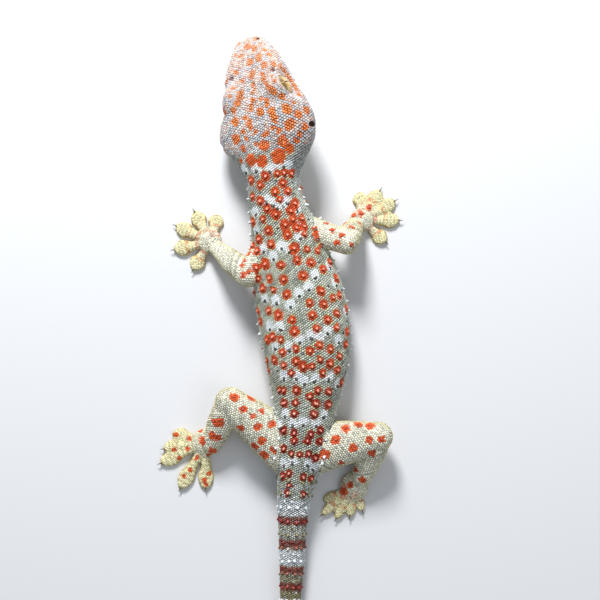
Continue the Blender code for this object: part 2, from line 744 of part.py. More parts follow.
def toe(palm, heading, length, wide):
    """One toe from the middle of the palm to its tip, its sole on the floor."""
    way = np.array((math.cos(math.radians(heading)), math.sin(math.radians(heading)), 0.0))
    side = np.cross(way, (0.0, 0.0, 1.0))
    share = np.array([0.10, 0.42, 0.58, 0.67, 0.76, 0.86, 0.94, 1.0])
    marks = [row[0] for row in TOE]
    width = wide * curve_through(share, marks, [row[1] for row in TOE])
    height = curve_through(share, marks, [row[2] for row in TOE])
    level = TOE_PAD_HEIGHT + (TOE_ROOT_HEIGHT - TOE_PAD_HEIGHT) * np.clip(1 - share / 0.7, 0.0, 1.0)
    middle = palm[None, :] * (1, 1, 0) + way * (share * length)[:, None] + np.array((0, 0, 1.0)) * level[:, None]
    angle = (np.arange(TOE_SIDES) + 0.5) / TOE_SIDES * 2 * math.pi
    points = (
        middle[:, None, :]
        + side * (width[:, None] * np.cos(angle))[..., None]
        + np.array((0, 0, 1.0)) * (height[:, None] * np.sin(angle))[..., None]
    )
    points[..., 2] = np.maximum(points[..., 2], 0.0)
    tip = middle[-1] + way * 0.0005
    return swept("toe", points, points[0].mean(0), tip)


def claw(palm, heading, length):
    """A small hooked cone out of the toe's tip."""
    way = Vector((math.cos(math.radians(heading)), math.sin(math.radians(heading)), 0.0))
    start = Vector((palm[0], palm[1], 0.0)) + way * (length - CLAW_ROOT) + Vector((0, 0, TOE_PAD_HEIGHT + 0.0002))
    side = way.cross(Vector((0, 0, 1)))
    rings = []
    for share, radius in ((0.0, 1.0), (0.6, 0.8)):
        rise = CLAW_RISE * math.sin(math.pi * share * 0.8)
        middle = start + way * ((CLAW_LENGTH + CLAW_ROOT) * share) + Vector((0, 0, rise))
        angles = [2 * math.pi * k / 4 for k in range(4)]
        rings.append(
            [middle + (side * math.cos(a) + Vector((0, 0, 1)) * math.sin(a)) * (CLAW_RADIUS * radius) for a in angles]
        )
    tip = start + way * (CLAW_LENGTH + CLAW_ROOT)
    return swept("claw", np.array(rings), sum(rings[0], Vector()) / 4, np.array(tip))


def foot(name, palm, half, toes, clear_of):
    """A palm with five toes; all but the first toe bear a claw."""
    wide = FOLDED_WIDTH if palm == FOLDED_FOOT else 1.0
    palm = place_of(palm)
    pad = ellipsoid(name, palm, half, segments=12, rings=7)
    for vertex in pad.data.vertices:
        vertex.co.z = max(vertex.co.z, 0.0)
    parts = [toe(palm, heading, length, wide) for heading, length in toes]
    parts += [claw(palm, heading, length) for heading, length in toes[1:]]
    combine(pad, "UNION", parts)
    combine(pad, "DIFFERENCE", [clear_of])
    finish(pad, "toe")


def grown_body():
    """The body's skin a clearance out, over the stretch that limbs grow from."""
    return body_length("grown_body", NAPE - 0.006, VENT + 0.015, GAP)


def make_limb(names, joints, shapes, toes):
    """An upper length out of the body, a lower length out of that and a foot."""
    upper_name, lower_name, foot_name = names
    root, middle, end, palm = joints
    upper_shape, lower_shape, half = shapes
    root, middle, end = place_of(root), place_of(middle), place_of(end)
    upper = limb(upper_name, root, middle, upper_shape)
    combine(upper, "DIFFERENCE", [grown_body()])
    finish(upper, "limb")
    lower = limb(lower_name, middle, end, lower_shape)
    combine(lower, "DIFFERENCE", [limb("grown", root, middle, upper_shape, GAP), grown_body()])
    finish(lower, "limb")
    foot(foot_name, palm, half, toes, limb("grown", middle, end, lower_shape, GAP))


def make_limbs():
    arm = (UPPER_ARM, FOREARM, HAND_HALF)
    leg = (THIGH, SHANK, FOOT_HALF)
    make_limb(
        ("upper_arm_left", "forearm_left", "hand_left"),
        (SHOULDER_LEFT, ELBOW_LEFT, WRIST_LEFT, PALM_LEFT),
        arm,
        HAND_LEFT_TOES,
    )
    make_limb(
        ("upper_arm_right", "forearm_right", "hand_right"),
        (SHOULDER_RIGHT, ELBOW_RIGHT, WRIST_RIGHT, PALM_RIGHT),
        arm,
        HAND_RIGHT_TOES,
    )
    make_limb(
        ("thigh_left", "shank_left", "foot_left"),
        (HIP_LEFT, KNEE_LEFT, ANKLE_LEFT, SOLE_LEFT),
        leg,
        FOOT_LEFT_TOES,
    )
    make_limb(
        ("thigh_right", "shank_right", "foot_right"),
        (HIP_RIGHT, KNEE_RIGHT, ANKLE_RIGHT, SOLE_RIGHT),
        leg,
        FOOT_RIGHT_TOES,
    )


def finish(thing, material):
    thing.data.materials.clear()
    thing.data.materials.append(MATERIALS[material])
    thing.data.shade_smooth()
    thing.data.set_sharp_from_angle(angle=math.radians(40.0))


for old in list(bpy.data.objects):
    bpy.data.objects.remove(old)
MATERIALS = {name: paint(name) for name in SKIN_COLOURS}
make_head()
make_eyes()
make_neck_and_trunk()
make_tail()
make_limbs()
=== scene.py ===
"""The looks of a life-size tokay gecko that lies on a pale floor, seen from straight above.

One skin takes the place of the solids of head, trunk, tail and limbs. Small scales, larger tubercles,
lip plates, lids, eyes, toe plates and claws are pieces of their own on it. Metres, +Z up, the snout to -Y.
"""

import math

import bmesh
import bpy
import numpy as np
from mathutils import Matrix, Vector, noise
from mathutils.bvhtree import BVHTree
from mathutils.kdtree import KDTree


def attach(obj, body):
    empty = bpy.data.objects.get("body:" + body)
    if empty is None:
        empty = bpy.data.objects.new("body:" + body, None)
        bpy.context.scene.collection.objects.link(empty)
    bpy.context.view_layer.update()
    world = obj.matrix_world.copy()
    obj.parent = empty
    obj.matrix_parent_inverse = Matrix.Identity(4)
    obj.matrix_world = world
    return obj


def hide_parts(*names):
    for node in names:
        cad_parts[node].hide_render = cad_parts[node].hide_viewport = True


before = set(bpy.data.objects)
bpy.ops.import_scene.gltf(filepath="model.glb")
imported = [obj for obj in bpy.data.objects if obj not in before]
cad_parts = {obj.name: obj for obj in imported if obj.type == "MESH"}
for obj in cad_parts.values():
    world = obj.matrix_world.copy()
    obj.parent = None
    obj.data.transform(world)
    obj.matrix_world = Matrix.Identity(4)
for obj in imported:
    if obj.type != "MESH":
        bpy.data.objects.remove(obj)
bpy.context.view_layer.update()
SEED = 11
UP = np.array((0.0, 0.0, 1.0))

# The photograph's frame: its width in pixels, pixels to the metre at the body's level, and the camera
PHOTO_SIDE = 600.0
PIXELS_PER_METRE = 2640.0
BODY_LEVEL = 0.012
CAMERA_REACH = 0.70
SENSOR_WIDTH = 36.0
NEAREST_SEEN = 0.01
LIT_PLACE = (-0.005, -0.05, 0.01)
JOINTS_PIXEL = (253.0, 37.0)

# Lengths along the midline, measured back from the snout
MOUTH_CORNER = 0.0290
NAPE = 0.0460
VENT = 0.1680
TAIL_TIP = 0.3150
SNOUT_X = 0.0112
SNOUT_Y = -0.1527
HEAD_ROLL = math.radians(21.0)
HEAD_PITCH = math.radians(8.5)
LEAN_END = 0.0800

# Station, distance behind the snout, half width, rise above and drop below the widest level,
# height of that level, squareness of the upper and of the lower half
BODY = (
    ("snout tip", 0.0000, 0.0000, 0.0000, 0.0000, 0.0082, 2.0, 2.0),
    ("lip front", 0.0004, 0.0034, 0.0017, 0.0014, 0.0082, 2.1, 2.1),
    ("nostrils", 0.0021, 0.0057, 0.0033, 0.0027, 0.0085, 2.2, 2.2),
    ("snout", 0.0080, 0.0096, 0.0050, 0.0043, 0.0094, 2.4, 2.3),
    ("before eyes", 0.0135, 0.0121, 0.0060, 0.0054, 0.0102, 2.5, 2.3),
    ("eyes", 0.0215, 0.0148, 0.0073, 0.0066, 0.0115, 2.6, 2.3),
    ("behind eyes", 0.0290, 0.0171, 0.0083, 0.0075, 0.0127, 2.5, 2.3),
    ("jaw muscle", 0.0365, 0.0188, 0.0090, 0.0080, 0.0138, 2.4, 2.3),
    ("jaw angle", 0.0410, 0.0182, 0.0090, 0.0080, 0.0143, 2.3, 2.2),
    ("nape", 0.0480, 0.0138, 0.0086, 0.0078, 0.0146, 2.2, 2.2),
    ("neck", 0.0570, 0.0098, 0.0080, 0.0076, 0.0140, 2.1, 2.1),
    ("shoulder", 0.0690, 0.0112, 0.0090, 0.0084, 0.0120, 2.1, 2.2),
    ("chest", 0.0830, 0.0140, 0.0112, 0.0089, 0.0095, 2.1, 2.5),
    ("belly front", 0.0980, 0.0166, 0.0124, 0.0088, 0.0084, 2.2, 2.6),
    ("belly", 0.1110, 0.0172, 0.0128, 0.0086, 0.0082, 2.2, 2.6),
    ("loin", 0.1260, 0.0156, 0.0118, 0.0084, 0.0080, 2.2, 2.6),
    ("waist", 0.1420, 0.0121, 0.0100, 0.0080, 0.0077, 2.1, 2.4),
    ("hips", 0.1560, 0.0099, 0.0088, 0.0077, 0.0075, 2.1, 2.3),
    ("vent", 0.1680, 0.0078, 0.0074, 0.0069, 0.0067, 2.1, 2.2),
    ("tail root", 0.1860, 0.0055, 0.0056, 0.0053, 0.0051, 2.1, 2.2),
    ("tail", 0.2120, 0.0041, 0.0042, 0.0040, 0.0038, 2.1, 2.2),
    ("thin tail", 0.2600, 0.0026, 0.0026, 0.0025, 0.0023, 2.0, 2.1),
    ("tail end", 0.3100, 0.0009, 0.0009, 0.0009, 0.0008, 2.0, 2.0),
    ("tail tip", 0.3150, 0.0004, 0.0004, 0.0004, 0.0004, 2.0, 2.0),
)

# Distance behind the snout, and how far the midline there turns from +Y towards the animal's right
HEADINGS = (
    (0.000, 16.0),
    (0.006, 13.2),
    (0.014, 11.0),
    (0.026, 12.9),
    (0.038, 10.2),
    (0.048, 3.8),
    (0.058, 6.6),
    (0.070, 14.7),
    (0.098, 12.5),
    (0.120, 4.3),
    (0.135, -3.8),
    (0.155, -6.7),
    (0.170, -7.8),
    (0.190, -1.3),
    (0.215, -2.0),
    (0.250, 12.0),
    (0.290, 30.0),
    (0.315, 40.0),
)
TABLE_STEPS = 631

# Swellings and hollows of the head: distance, angle from the left side, length, spread, height
BROW = (0.0238, 54.0, 0.0078, 21.0, 0.0013)
FOREHEAD = (0.0170, 90.0, 0.0095, 20.0, -0.0010)
TEMPLE = (0.0350, 58.0, 0.0065, 22.0, 0.0007)
CHEEK = (0.0360, 4.0, 0.0060, 26.0, 0.0004)
CHIN = (0.0100, -90.0, 0.0090, 40.0, 0.0004)

# Eyes, placed from the head's midline: behind the snout, outward, upward
EYE_RADIUS = 0.0049
EYE_BACK = 0.0240
EYE_OUT = 0.0093
EYE_UP = 0.0038
EYE_LOOK = Vector((-0.30, 0.90, 0.27)).normalized()  # tailward, outward, upward
ORBIT_HALF = Vector((0.0072, 0.0058, 0.0055))
LID_OPENING = 0.0042
LID_OUT = 0.0025
LID_SEAT = LID_OUT - 0.0001
LID_RADIUS = 0.00055
LID_BEVEL_DEPTH = 0.0030
LID_BEVEL_WIDTH = 0.0045

# Mouth, nostrils and ears
MOUTH_FRONT_DROP = 0.0008
MOUTH_CORNER_DROP = 0.0021
MOUTH_SAG = 0.0005
MOUTH_SLIT = 0.00016
LIP_RADIUS = 0.0009
LIP_INSET = 0.0005
NOSTRIL_BACK = 0.0024
NOSTRIL_ANGLE = 36.0
NOSTRIL_RADIUS = 0.0006
EAR_BACK = 0.0392
EAR_ANGLE = 8.0
EAR_HALF = Vector((0.0012, 0.0020, 0.0025))

# Limb joints: left of a fixed place near the snout, behind it, above the floor
JOINTS_X = 0.0090
JOINTS_Y = -0.1524
SHOULDER_LEFT = (-0.0090, 0.0725, 0.0105)
ELBOW_LEFT = (0.0018, 0.0902, 0.0130)
WRIST_LEFT = (0.0138, 0.0802, 0.0038)
PALM_LEFT = (0.0166, 0.0773, 0.0020)
SHOULDER_RIGHT = (-0.0168, 0.0715, 0.0105)
ELBOW_RIGHT = (-0.0350, 0.0778, 0.0150)
WRIST_RIGHT = (-0.0392, 0.0706, 0.0038)
PALM_RIGHT = (-0.0414, 0.0690, 0.0020)
HIP_LEFT = (-0.0135, 0.1565, 0.0072)
KNEE_LEFT = (0.0088, 0.1384, 0.0100)
ANKLE_LEFT = (0.0157, 0.1548, 0.0045)
SOLE_LEFT = (0.0184, 0.1543, 0.0020)
HIP_RIGHT = (-0.0225, 0.1562, 0.0072)
KNEE_RIGHT = (-0.0474, 0.1516, 0.0100)
ANKLE_RIGHT = (-0.0414, 0.1670, 0.0045)
SOLE_RIGHT = (-0.0386, 0.1711, 0.0020)

# Limb thickness from root to end: share of the length, half width, half height
UPPER_ARM = ((0.0, 0.0056, 0.0054), (0.5, 0.0050, 0.0048), (1.0, 0.0045, 0.0044))
FOREARM = ((0.0, 0.0046, 0.0044), (0.4, 0.0046, 0.0042), (1.0, 0.0029, 0.0025))
THIGH = ((0.0, 0.0100, 0.0062), (0.5, 0.0083, 0.0062), (1.0, 0.0056, 0.0053))
SHANK = ((0.0, 0.0050, 0.0050), (0.4, 0.0053, 0.0047), (1.0, 0.0037, 0.0032))
LIMB_SQUARENESS = 2.1

# Toes: heading from the animal's left side round towards the tail, and length from the palm's middle
HAND_LEFT_TOES = (
    (-105.0, 0.0106), (-62.0, 0.0130), (-25.0, 0.0145), (12.0, 0.0142), (58.0, 0.0124),
)
HAND_RIGHT_TOES = (
    (-88.0, 0.0106), (-122.0, 0.0134), (-150.0, 0.0147), (-180.0, 0.0144), (-222.0, 0.0124),
)
FOOT_LEFT_TOES = ((-14.0, 0.0130), (9.0, 0.0162), (25.0, 0.0190), (61.0, 0.0202), (90.0, 0.0178))
FOOT_RIGHT_TOES = ((26.0, 0.0128), (42.0, 0.0165), (61.0, 0.0142), (82.0, 0.0118), (108.0, 0.0100))
TOE = (
    (0.0, 0.0018, 0.0017),
    (0.42, 0.0016, 0.0014),
    (0.58, 0.0020, 0.0012),
    (0.75, 0.0030, 0.0011),
    (0.88, 0.0025, 0.0010),
    (1.0, 0.0011, 0.0008),
)
FOLDED_FOOT = SOLE_RIGHT
FOLDED_WIDTH = 0.64
TOE_ROOT_HEIGHT = 0.0021
TOE_PAD_HEIGHT = 0.0008
HAND_HALF = Vector((0.0045, 0.0045, 0.0023))
FOOT_HALF = Vector((0.0054, 0.0054, 0.0025))
CLAW_LENGTH = 0.0019
CLAW_ROOT = 0.0008
CLAW_RADIUS = 0.00042
CLAW_RISE = 0.0006
CLAW_LIFT = 0.0002
CLAW_BEND = 0.0005
CLAW_TIP_DROP = 0.0004

# Plates under the toes: height and setback of the edges of their section, and how far they bow forwards
TOE_PLATE_EDGES = ((0.00008, 0.0), (0.00008, 0.00040), (0.00050, 0.00075), (0.00050, 0.00035))
PLATE_BOW = 0.0007

# Limbs: their joints, the thickness of both lengths, and the hand or foot with its half size and toes
LIMBS = (
    (
        "arm_left", SHOULDER_LEFT, ELBOW_LEFT, WRIST_LEFT, UPPER_ARM, FOREARM,
        PALM_LEFT, HAND_HALF, HAND_LEFT_TOES,
    ),
    (
        "arm_right", SHOULDER_RIGHT, ELBOW_RIGHT, WRIST_RIGHT, UPPER_ARM, FOREARM,
        PALM_RIGHT, HAND_HALF, HAND_RIGHT_TOES,
    ),
    (
        "leg_left", HIP_LEFT, KNEE_LEFT, ANKLE_LEFT, THIGH, SHANK,
        SOLE_LEFT, FOOT_HALF, FOOT_LEFT_TOES,
    ),
    (
        "leg_right", HIP_RIGHT, KNEE_RIGHT, ANKLE_RIGHT, THIGH, SHANK,
        SOLE_RIGHT, FOOT_HALF, FOOT_RIGHT_TOES,
    ),
)

# Skin: cell of the remesh, rounds of smoothing, least height over the floor before and after it is
# sunk under the scales, and depth, fineness and shift of its unevenness
SKIN_CELL = 0.00052
SKIN_SMOOTHING = 10
SKIN_FLOOR = 0.00012
SKIN_LEAST = 0.00004
SKIN_INSET = 0.00012
SKIN_UNEVEN = ((0.00016, 230.0, 5.0), (0.00007, 620.0, 9.0))
SKIN_FACES = []
MILLIMETRE = 0.001

# Shape of the skin: rings of the body, softened roots of the limbs, and the hollows round the eyes
SNOUT_RINGS = np.linspace(0.0004, 0.004, 10)
BODY_RINGS_START = 0.0048
RING_STEP = 0.0008
RELIEF_REACH = 0.004
ROOT_REACH = 0.0060
ROOT_SMOOTHING = 26
EYE_SMOOTH_REACH = 0.0075
RECESS_DEPTH = 0.0007
FLARE_SINK = 0.0002
FLARE_END = 0.009
BROW_BASE = 0.00115

# Pitch of the small scales: along head, trunk and tail, and by region elsewhere
PITCH_STOPS = (0.000, 0.008, 0.020, 0.034, 0.048, 0.062, 0.160, 0.200, 0.315)
PITCH_THERE = (0.00078, 0.00092, 0.00106, 0.00106, 0.00094, 0.00092, 0.00096, 0.00086, 0.00062)
TAIL_START = 0.172
LIMB_PITCH = 0.00096
TOE_PITCH = 0.00072
BELLY_PITCH = 0.00115
ORBIT_PITCH = 0.00086
LID_SCALE_PITCH = 0.00062
EAR_PITCH = 0.00058
NOSTRIL_PITCH = 0.00050

# Regions of the animal, by number
HEAD, BACK, TAIL, BELLY, LIMB, TOES = range(6)

# Tiles of the unwrap: body 0, orbits 1 and 2, then seven for each limb, of which one foot is seen whole
LIMB_TILE = 3
TILES_EACH = 7
SEEN_LIMB = 2

# Rows of scales: steps between the rows and along them, and the sine under which the belly's begin
ROW_STEP = 0.866
OBLIQUE_STEP = 0.5
OBLIQUE_APART = 1.732
BODY_SPAN = (0.0004, TAIL_TIP - 0.002)
BELLY_SPAN = (0.003, TAIL_TIP - 0.004)
UNDER_LEVEL = -0.55
UPPER_TURNS = np.radians((20.0, 55.0, 90.0, 125.0, 160.0))

# Small steps over a surface that show its slope or its direction
PROBE = 0.0001
TAIL_PROBE = 0.0003
SPOT_PROBE = 0.0004

# How far off the skin a scale may be made and still be kept, and the room round openings and gaps
BODY_OFF = 0.0009
ORBIT_OFF = 0.0003
LIMB_OFF = 0.00045
RIM_OFF = 0.0012
GAP_CELL = 0.0012
MOUTH_CLEAR = 0.00075

# Rings of scales round each eye: first and last ring, and the rays that find the skin under them
ORBIT_START = 0.0050
ORBIT_END = 0.0088
ORBIT_RAY = 0.009
ORBIT_RAY_LENGTH = 0.014
ORBIT_REACH = 0.0070

# Lids: how the brow's lid reaches inwards and up, and how they lie in the skin
BROW_REACH = 0.0010
BROW_LIFT = 0.0010
LID_SINK = 0.00028
LID_CORNER = 0.0004
LID_UNDER_SCALES = 0.00005

# Lips: how their plates stand out, and for each its start over the mouth line, its height and its plates
LIP_BULGE = 0.00046
LIP_SINK = 0.00018
LIPS = (("upper_lip", 0.0002, 0.0016, 27), ("lower_lip", -0.0002, 0.0013, 25))

# Cutters: the mouth's plate, the cone that opens the lids and the room round the eyeball
MOUTH_AHEAD = 0.006
MOUTH_WIDE = 0.03
LID_CUT_START = 0.0012
LID_CUT_DEPTH = 0.012
SOCKET_GAP = 0.0003

# Caps: width, height and painted shade of their rings, dark at the root as painted shade in the grooves and
# above one at the top as a painted highlight, and by region their height, looseness and slimness
TUBERCLE_PROFILE = (
    (1.00, -0.10, 0.45),
    (0.90, 0.12, 0.70),
    (0.70, 0.40, 0.95),
    (0.45, 0.70, 1.00),
    (0.20, 0.92, 1.00),
    (0.00, 1.00, 1.00),
)
TUBERCLE_SIDES = 12
TUBERCLE_ROOT = 0.0001
TUBERCLE_LEAN = 0.32
SCALE_LEAN = 0.10
# the scales' rims painted dark as shade in the grooves, their tops painted lighter as a highlight
SCALE_PROFILE = ((1.00, 0.00, 0.14), (0.84, 0.42, 0.52), (0.50, 0.88, 1.02), (0.00, 1.00, 1.20))
SMALL_PROFILE = ((1.00, 0.00, 0.28), (0.74, 0.70, 0.88), (0.00, 1.00, 1.12))
SCALE_HEIGHTS = np.array((0.25, 0.26, 0.26, 0.08, 0.22, 0.20))
LOOSENESS = np.array((0.11, 0.065, 0.065, 0.05, 0.09, 0.07))
DRAWN_OUT = np.array((0.0, 0.16, 0.10, 0.0, 0.06, 0.0))
ROW_SLANT = math.radians(30.0)
CHART_SPREAD = 0.0014
CAP_FLOOR = 0.00002
ROOT_SINK = 0.00002
PIECE_TRIANGLES = 190000

# Painted shade in the grooves between the scales: the share of colour left in the deepest, and how strong it
# is on limbs and toes
GROOVE_SHADE = 0.20
LIMB_GROOVES = 0.62
TOE_GROOVES = 0.50

# Tubercles: radius and height of each kind, and how far apart they stand
MARK_TUBERCLE = (0.00094, 0.00104)
SHADE_TUBERCLE = (0.00075, 0.00062)
LIMB_TUBERCLE = (0.00062, 0.00036)
SMALL_TUBERCLE = (0.00048, 0.00044)
EDGE_TUBERCLE = (0.00080, 0.00120)
WHORL_TUBERCLE = (0.00100, 0.00096)
TUBERCLE_SPACE = 0.0019
LIMB_TUBERCLE_SPACE = 0.0020
SMALL_TUBERCLE_SPACE = 0.0025
WHITE_SHIFT = 0.0013
EDGE_STOPS = np.arange(0.058, 0.166, 0.0036)
EDGE_UNEVEN = 0.001
SMALL_SPAN = (0.056, 0.168)

# Rings of tubercles round the tail, with smaller ones between them
WHORL_ANGLES = (6.0, 40.0, 73.0, 107.0, 140.0, 174.0)
WHORL_BETWEEN = (-8.0, 22.0, 56.0, 90.0, 124.0, 158.0, 188.0)
WHORL_STEP = 0.0054
WHORLS_END = 0.275
WHORLS_START = VENT + 0.003
WHORL_UNEVEN = 0.0004

# The nodes of the frame that the skin takes the place of
SKIN_NODES = (
    "head", "lower_jaw", "neck", "torso", "tail_base", "tail_middle", "tail_tip",
    "upper_arm_left", "forearm_left", "hand_left", "upper_arm_right", "forearm_right", "hand_right",
    "thigh_left", "shank_left", "foot_left", "thigh_right", "shank_right", "foot_right",
)


def srgb(red, green, blue):
    """A colour given as a screen shows it, in the renderer's linear values."""
    part = np.array((red, green, blue), float) / 255.0
    return np.where(part <= 0.04045, part / 12.92, ((part + 0.055) / 1.055) ** 2.4)


# Colours of skin and scales
SNOUT_GROUND = srgb(212, 200, 192)
HEAD_GROUND = srgb(194, 192, 190)
# painted highlight on the tops of the beads in the head's spots
BEAD_HIGHLIGHT = srgb(255, 226, 190)
HEAD_PINK = srgb(214, 182, 168)
HEAD_BLUE = srgb(166, 174, 188)
NAPE_GROUND = srgb(190, 194, 190)
BACK_GROUND = srgb(203, 208, 193)
BACK_SHADE = srgb(108, 114, 92)
RUMP_GROUND = srgb(194, 200, 190)
TAIL_ROOT_GROUND = srgb(178, 180, 164)
TAIL_GROUND = srgb(150, 140, 106)
BELLY_GROUND = srgb(226, 220, 196)
LIMB_GROUND = srgb(226, 224, 204)
TOE_GROUND = srgb(244, 234, 186)
# yellow-olive painted shade on the limbs' sides
LIMB_SHADED_SIDE = srgb(180, 162, 84)
TOE_SIDE = srgb(216, 184, 58)
WHITE = srgb(243, 249, 253)
HEAD_ORANGE = srgb(216, 114, 28)
BACK_ORANGE = srgb(214, 84, 40)
RUMP_RED = srgb(164, 46, 28)
TAIL_RED = srgb(134, 40, 26)
LIMB_ORANGE = srgb(216, 92, 44)
RIM_YELLOW = srgb(206, 186, 96)
HEAD_FLECK = srgb(206, 140, 108)
# painted highlight on the tubercles
HIGHLIGHT_PINK = srgb(238, 176, 152)
# near black: painted shadow behind small bumps
CAST_SHADOW_DARK = srgb(52, 50, 34)
# purple-brown painted shade in the hollow before each eye
RECESS_SHADE = srgb(112, 60, 66)
LID_WHITE = srgb(176, 172, 168)
CLAW_DARK = srgb(92, 76, 52)
TOE_PLATE = srgb(206, 196, 160)
# painted shade inside ears and nostrils
PIT_SHADE = srgb(92, 62, 56)
LIP_TONE = srgb(206, 200, 196)
LID_LOW = srgb(190, 120, 84)
# painted shade on the lids' inner side
LID_INNER_SHADE = srgb(70, 48, 34)
IRIS_GOLD = srgb(214, 166, 78)
IRIS_PALE = srgb(232, 200, 128)
IRIS_VEIN = srgb(112, 70, 26)
# the iris's dark rim, also used as painted shadow of the upper lid
IRIS_RIM_AND_SHADOW = srgb(46, 30, 18)
SLIT_BLACK = (0.004, 0.004, 0.004)
FLOOR_PALE = srgb(222, 223, 226)

# Marks read on the photograph, in its pixels, with a radius in millimetres
HEAD_SPOTS = (
    (255.6, 39.0, 1.0), (238.8, 43.5, 0.9), (247.0, 47.0, 1.5), (253.5, 48.6, 1.3), (264.5, 49.5, 0.9),
    (258.8, 57.3, 1.7), (250.0, 62.0, 1.6), (269.8, 54.5, 1.1), (240.2, 56.5, 1.1), (263.7, 65.3, 1.5),
    (273.5, 64.3, 1.2), (235.0, 55.0, 0.8), (232.0, 63.5, 0.8), (281.0, 66.0, 1.0), (252.2, 73.6, 1.4),
    (250.8, 77.0, 1.2), (236.0, 72.5, 1.2), (241.3, 81.0, 1.0), (271.8, 76.2, 0.8), (274.6, 81.0, 1.0),
    (232.8, 88.5, 0.9), (230.5, 96.0, 0.9), (252.8, 84.5, 1.0), (255.0, 89.0, 0.9), (252.0, 92.5, 0.9),
    (262.0, 74.0, 1.0), (263.7, 78.5, 1.0), (265.6, 83.0, 1.1), (267.5, 86.5, 1.3), (271.0, 89.5, 1.6),
    (274.5, 92.5, 1.3), (281.8, 96.3, 1.5), (240.8, 92.5, 1.3), (239.8, 97.5, 1.4), (237.6, 103.0, 1.4),
    (233.4, 110.5, 1.2), (253.0, 99.5, 1.1), (251.7, 105.0, 1.0), (250.8, 110.0, 1.0), (261.0, 99.8, 1.1),
    (266.5, 101.0, 1.1), (266.8, 105.5, 1.2), (260.2, 112.3, 1.8), (271.2, 110.8, 1.6), (272.3, 115.5, 1.3),
    (274.6, 119.5, 1.5), (286.6, 109.3, 2.1), (294.2, 102.8, 1.0), (298.6, 114.5, 1.8), (307.2, 110.2, 1.6),
    (289.4, 124.6, 2.3), (304.7, 127.3, 1.5), (235.0, 121.5, 1.8), (249.2, 122.5, 1.5), (245.0, 118.0, 1.0),
    (249.6, 127.0, 1.2), (278.5, 130.8, 1.4), (235.7, 139.3, 1.9), (243.2, 149.0, 1.4), (263.7, 145.6, 2.2),
    (282.4, 141.2, 2.2), (296.0, 140.5, 1.4), (289.8, 148.6, 1.9), (278.6, 156.2, 3.0), (251.0, 160.4, 2.4),
    (262.0, 161.4, 2.4), (241.0, 161.0, 1.0), (264.0, 135.2, 1.0), (255.5, 133.0, 0.9), (300.0, 134.0, 1.2),
    (246.5, 138.5, 1.0), (272.0, 127.5, 1.0), (243.0, 131.5, 1.0), (256.0, 144.0, 0.9), (266.2, 134.0, 1.1),
)
UNDER_EYE = (
    (280.8, 66.2), (284.3, 70.8), (287.8, 75.5), (291.0, 80.0), (294.0, 84.5), (296.4, 89.0), (298.6, 94.0),
)
UNDER_EYE_LEFT = ((226.6, 82.0), (224.6, 89.0), (223.4, 96.0), (223.6, 104.0), (224.6, 112.0))
EYE_RECESSES = ((273.6, 70.0, 1.3), (231.2, 79.0, 1.1))

# Each set below was read on an enlargement: its left and top edge in the photograph, and how much larger
NAPE_VIEW = (230.0, 120.0, 13.07)
NAPE_ORANGE = (
    (465, 735), (275, 790), (395, 855), (620, 700), (705, 690), (690, 825), (755, 930), (295, 1000),
    (395, 1060), (590, 940), (650, 1040), (485, 1160), (255, 1180), (430, 1300), (600, 1235), (795, 1190),
    (820, 1300), (720, 1370), (300, 1330), (270, 1450), (500, 1450), (870, 1410), (750, 1500), (845, 1090),
    (800, 700), (940, 1290), (970, 1390),
)
NAPE_WHITE = (
    (190, 660), (330, 630), (520, 640), (430, 670), (700, 570), (640, 600), (760, 590), (550, 1080),
    (470, 1040), (610, 1110), (330, 1200), (300, 1230), (745, 1050), (870, 1150), (240, 1290), (340, 1430),
)
TRUNK_VIEW = (190.0, 160.0, 3.846)
TRUNK_ORANGE = (
    (388, 195), (300, 275), (410, 262), (375, 295), (312, 325), (440, 285), (400, 340), (450, 345),
    (490, 350), (258, 350), (265, 305), (290, 400), (350, 405), (412, 385), (465, 395), (512, 420),
    (254, 415), (305, 455), (360, 460), (435, 445), (320, 500), (372, 518), (280, 495), (505, 505),
    (575, 520), (550, 530), (460, 550), (515, 555), (262, 580), (302, 580), (340, 597), (392, 615),
    (565, 590), (470, 597), (530, 615), (402, 660), (487, 648), (565, 645), (605, 660), (318, 680),
    (350, 692), (407, 725), (462, 735), (498, 712), (540, 728), (355, 740), (575, 755), (600, 710),
    (325, 770), (360, 790), (408, 775), (500, 768), (435, 795), (470, 795), (540, 785), (390, 820),
    (512, 820), (568, 808), (345, 885), (365, 890), (410, 888), (492, 888), (536, 893), (462, 910),
    (365, 935), (408, 935), (488, 938), (535, 940), (400, 975), (480, 980), (240, 145), (278, 230),
)
TRUNK_WHITE = (
    (370, 160), (420, 290), (350, 330), (380, 340), (280, 340), (320, 370), (480, 440), (535, 405),
    (560, 470), (455, 485), (418, 510), (285, 530), (330, 540), (385, 555), (345, 640), (305, 640),
    (530, 655), (500, 680), (465, 675), (420, 690), (380, 720), (572, 690), (600, 580), (325, 715),
    (360, 830), (440, 850), (480, 840), (535, 835), (570, 860), (410, 830),
)
PHOTO_VIEW = (0.0, 0.0, 1.0)
EDGE_ORANGE = (
    (256.0, 268.2), (258.4, 278.8), (254.6, 292.0), (257.2, 310.3), (260.4, 321.5), (261.8, 343.7),
    (267.0, 340.0), (267.2, 360.5), (271.4, 336.6), (268.8, 370.0), (339.8, 294.8), (346.3, 308.0),
    (347.0, 332.0), (345.3, 344.6), (343.0, 358.0), (341.4, 382.5), (252.4, 246.0), (253.0, 239.8),
    (330.0, 262.0), (336.6, 278.5),
)
REAR_VIEW = (150.0, 380.0, 3.846)
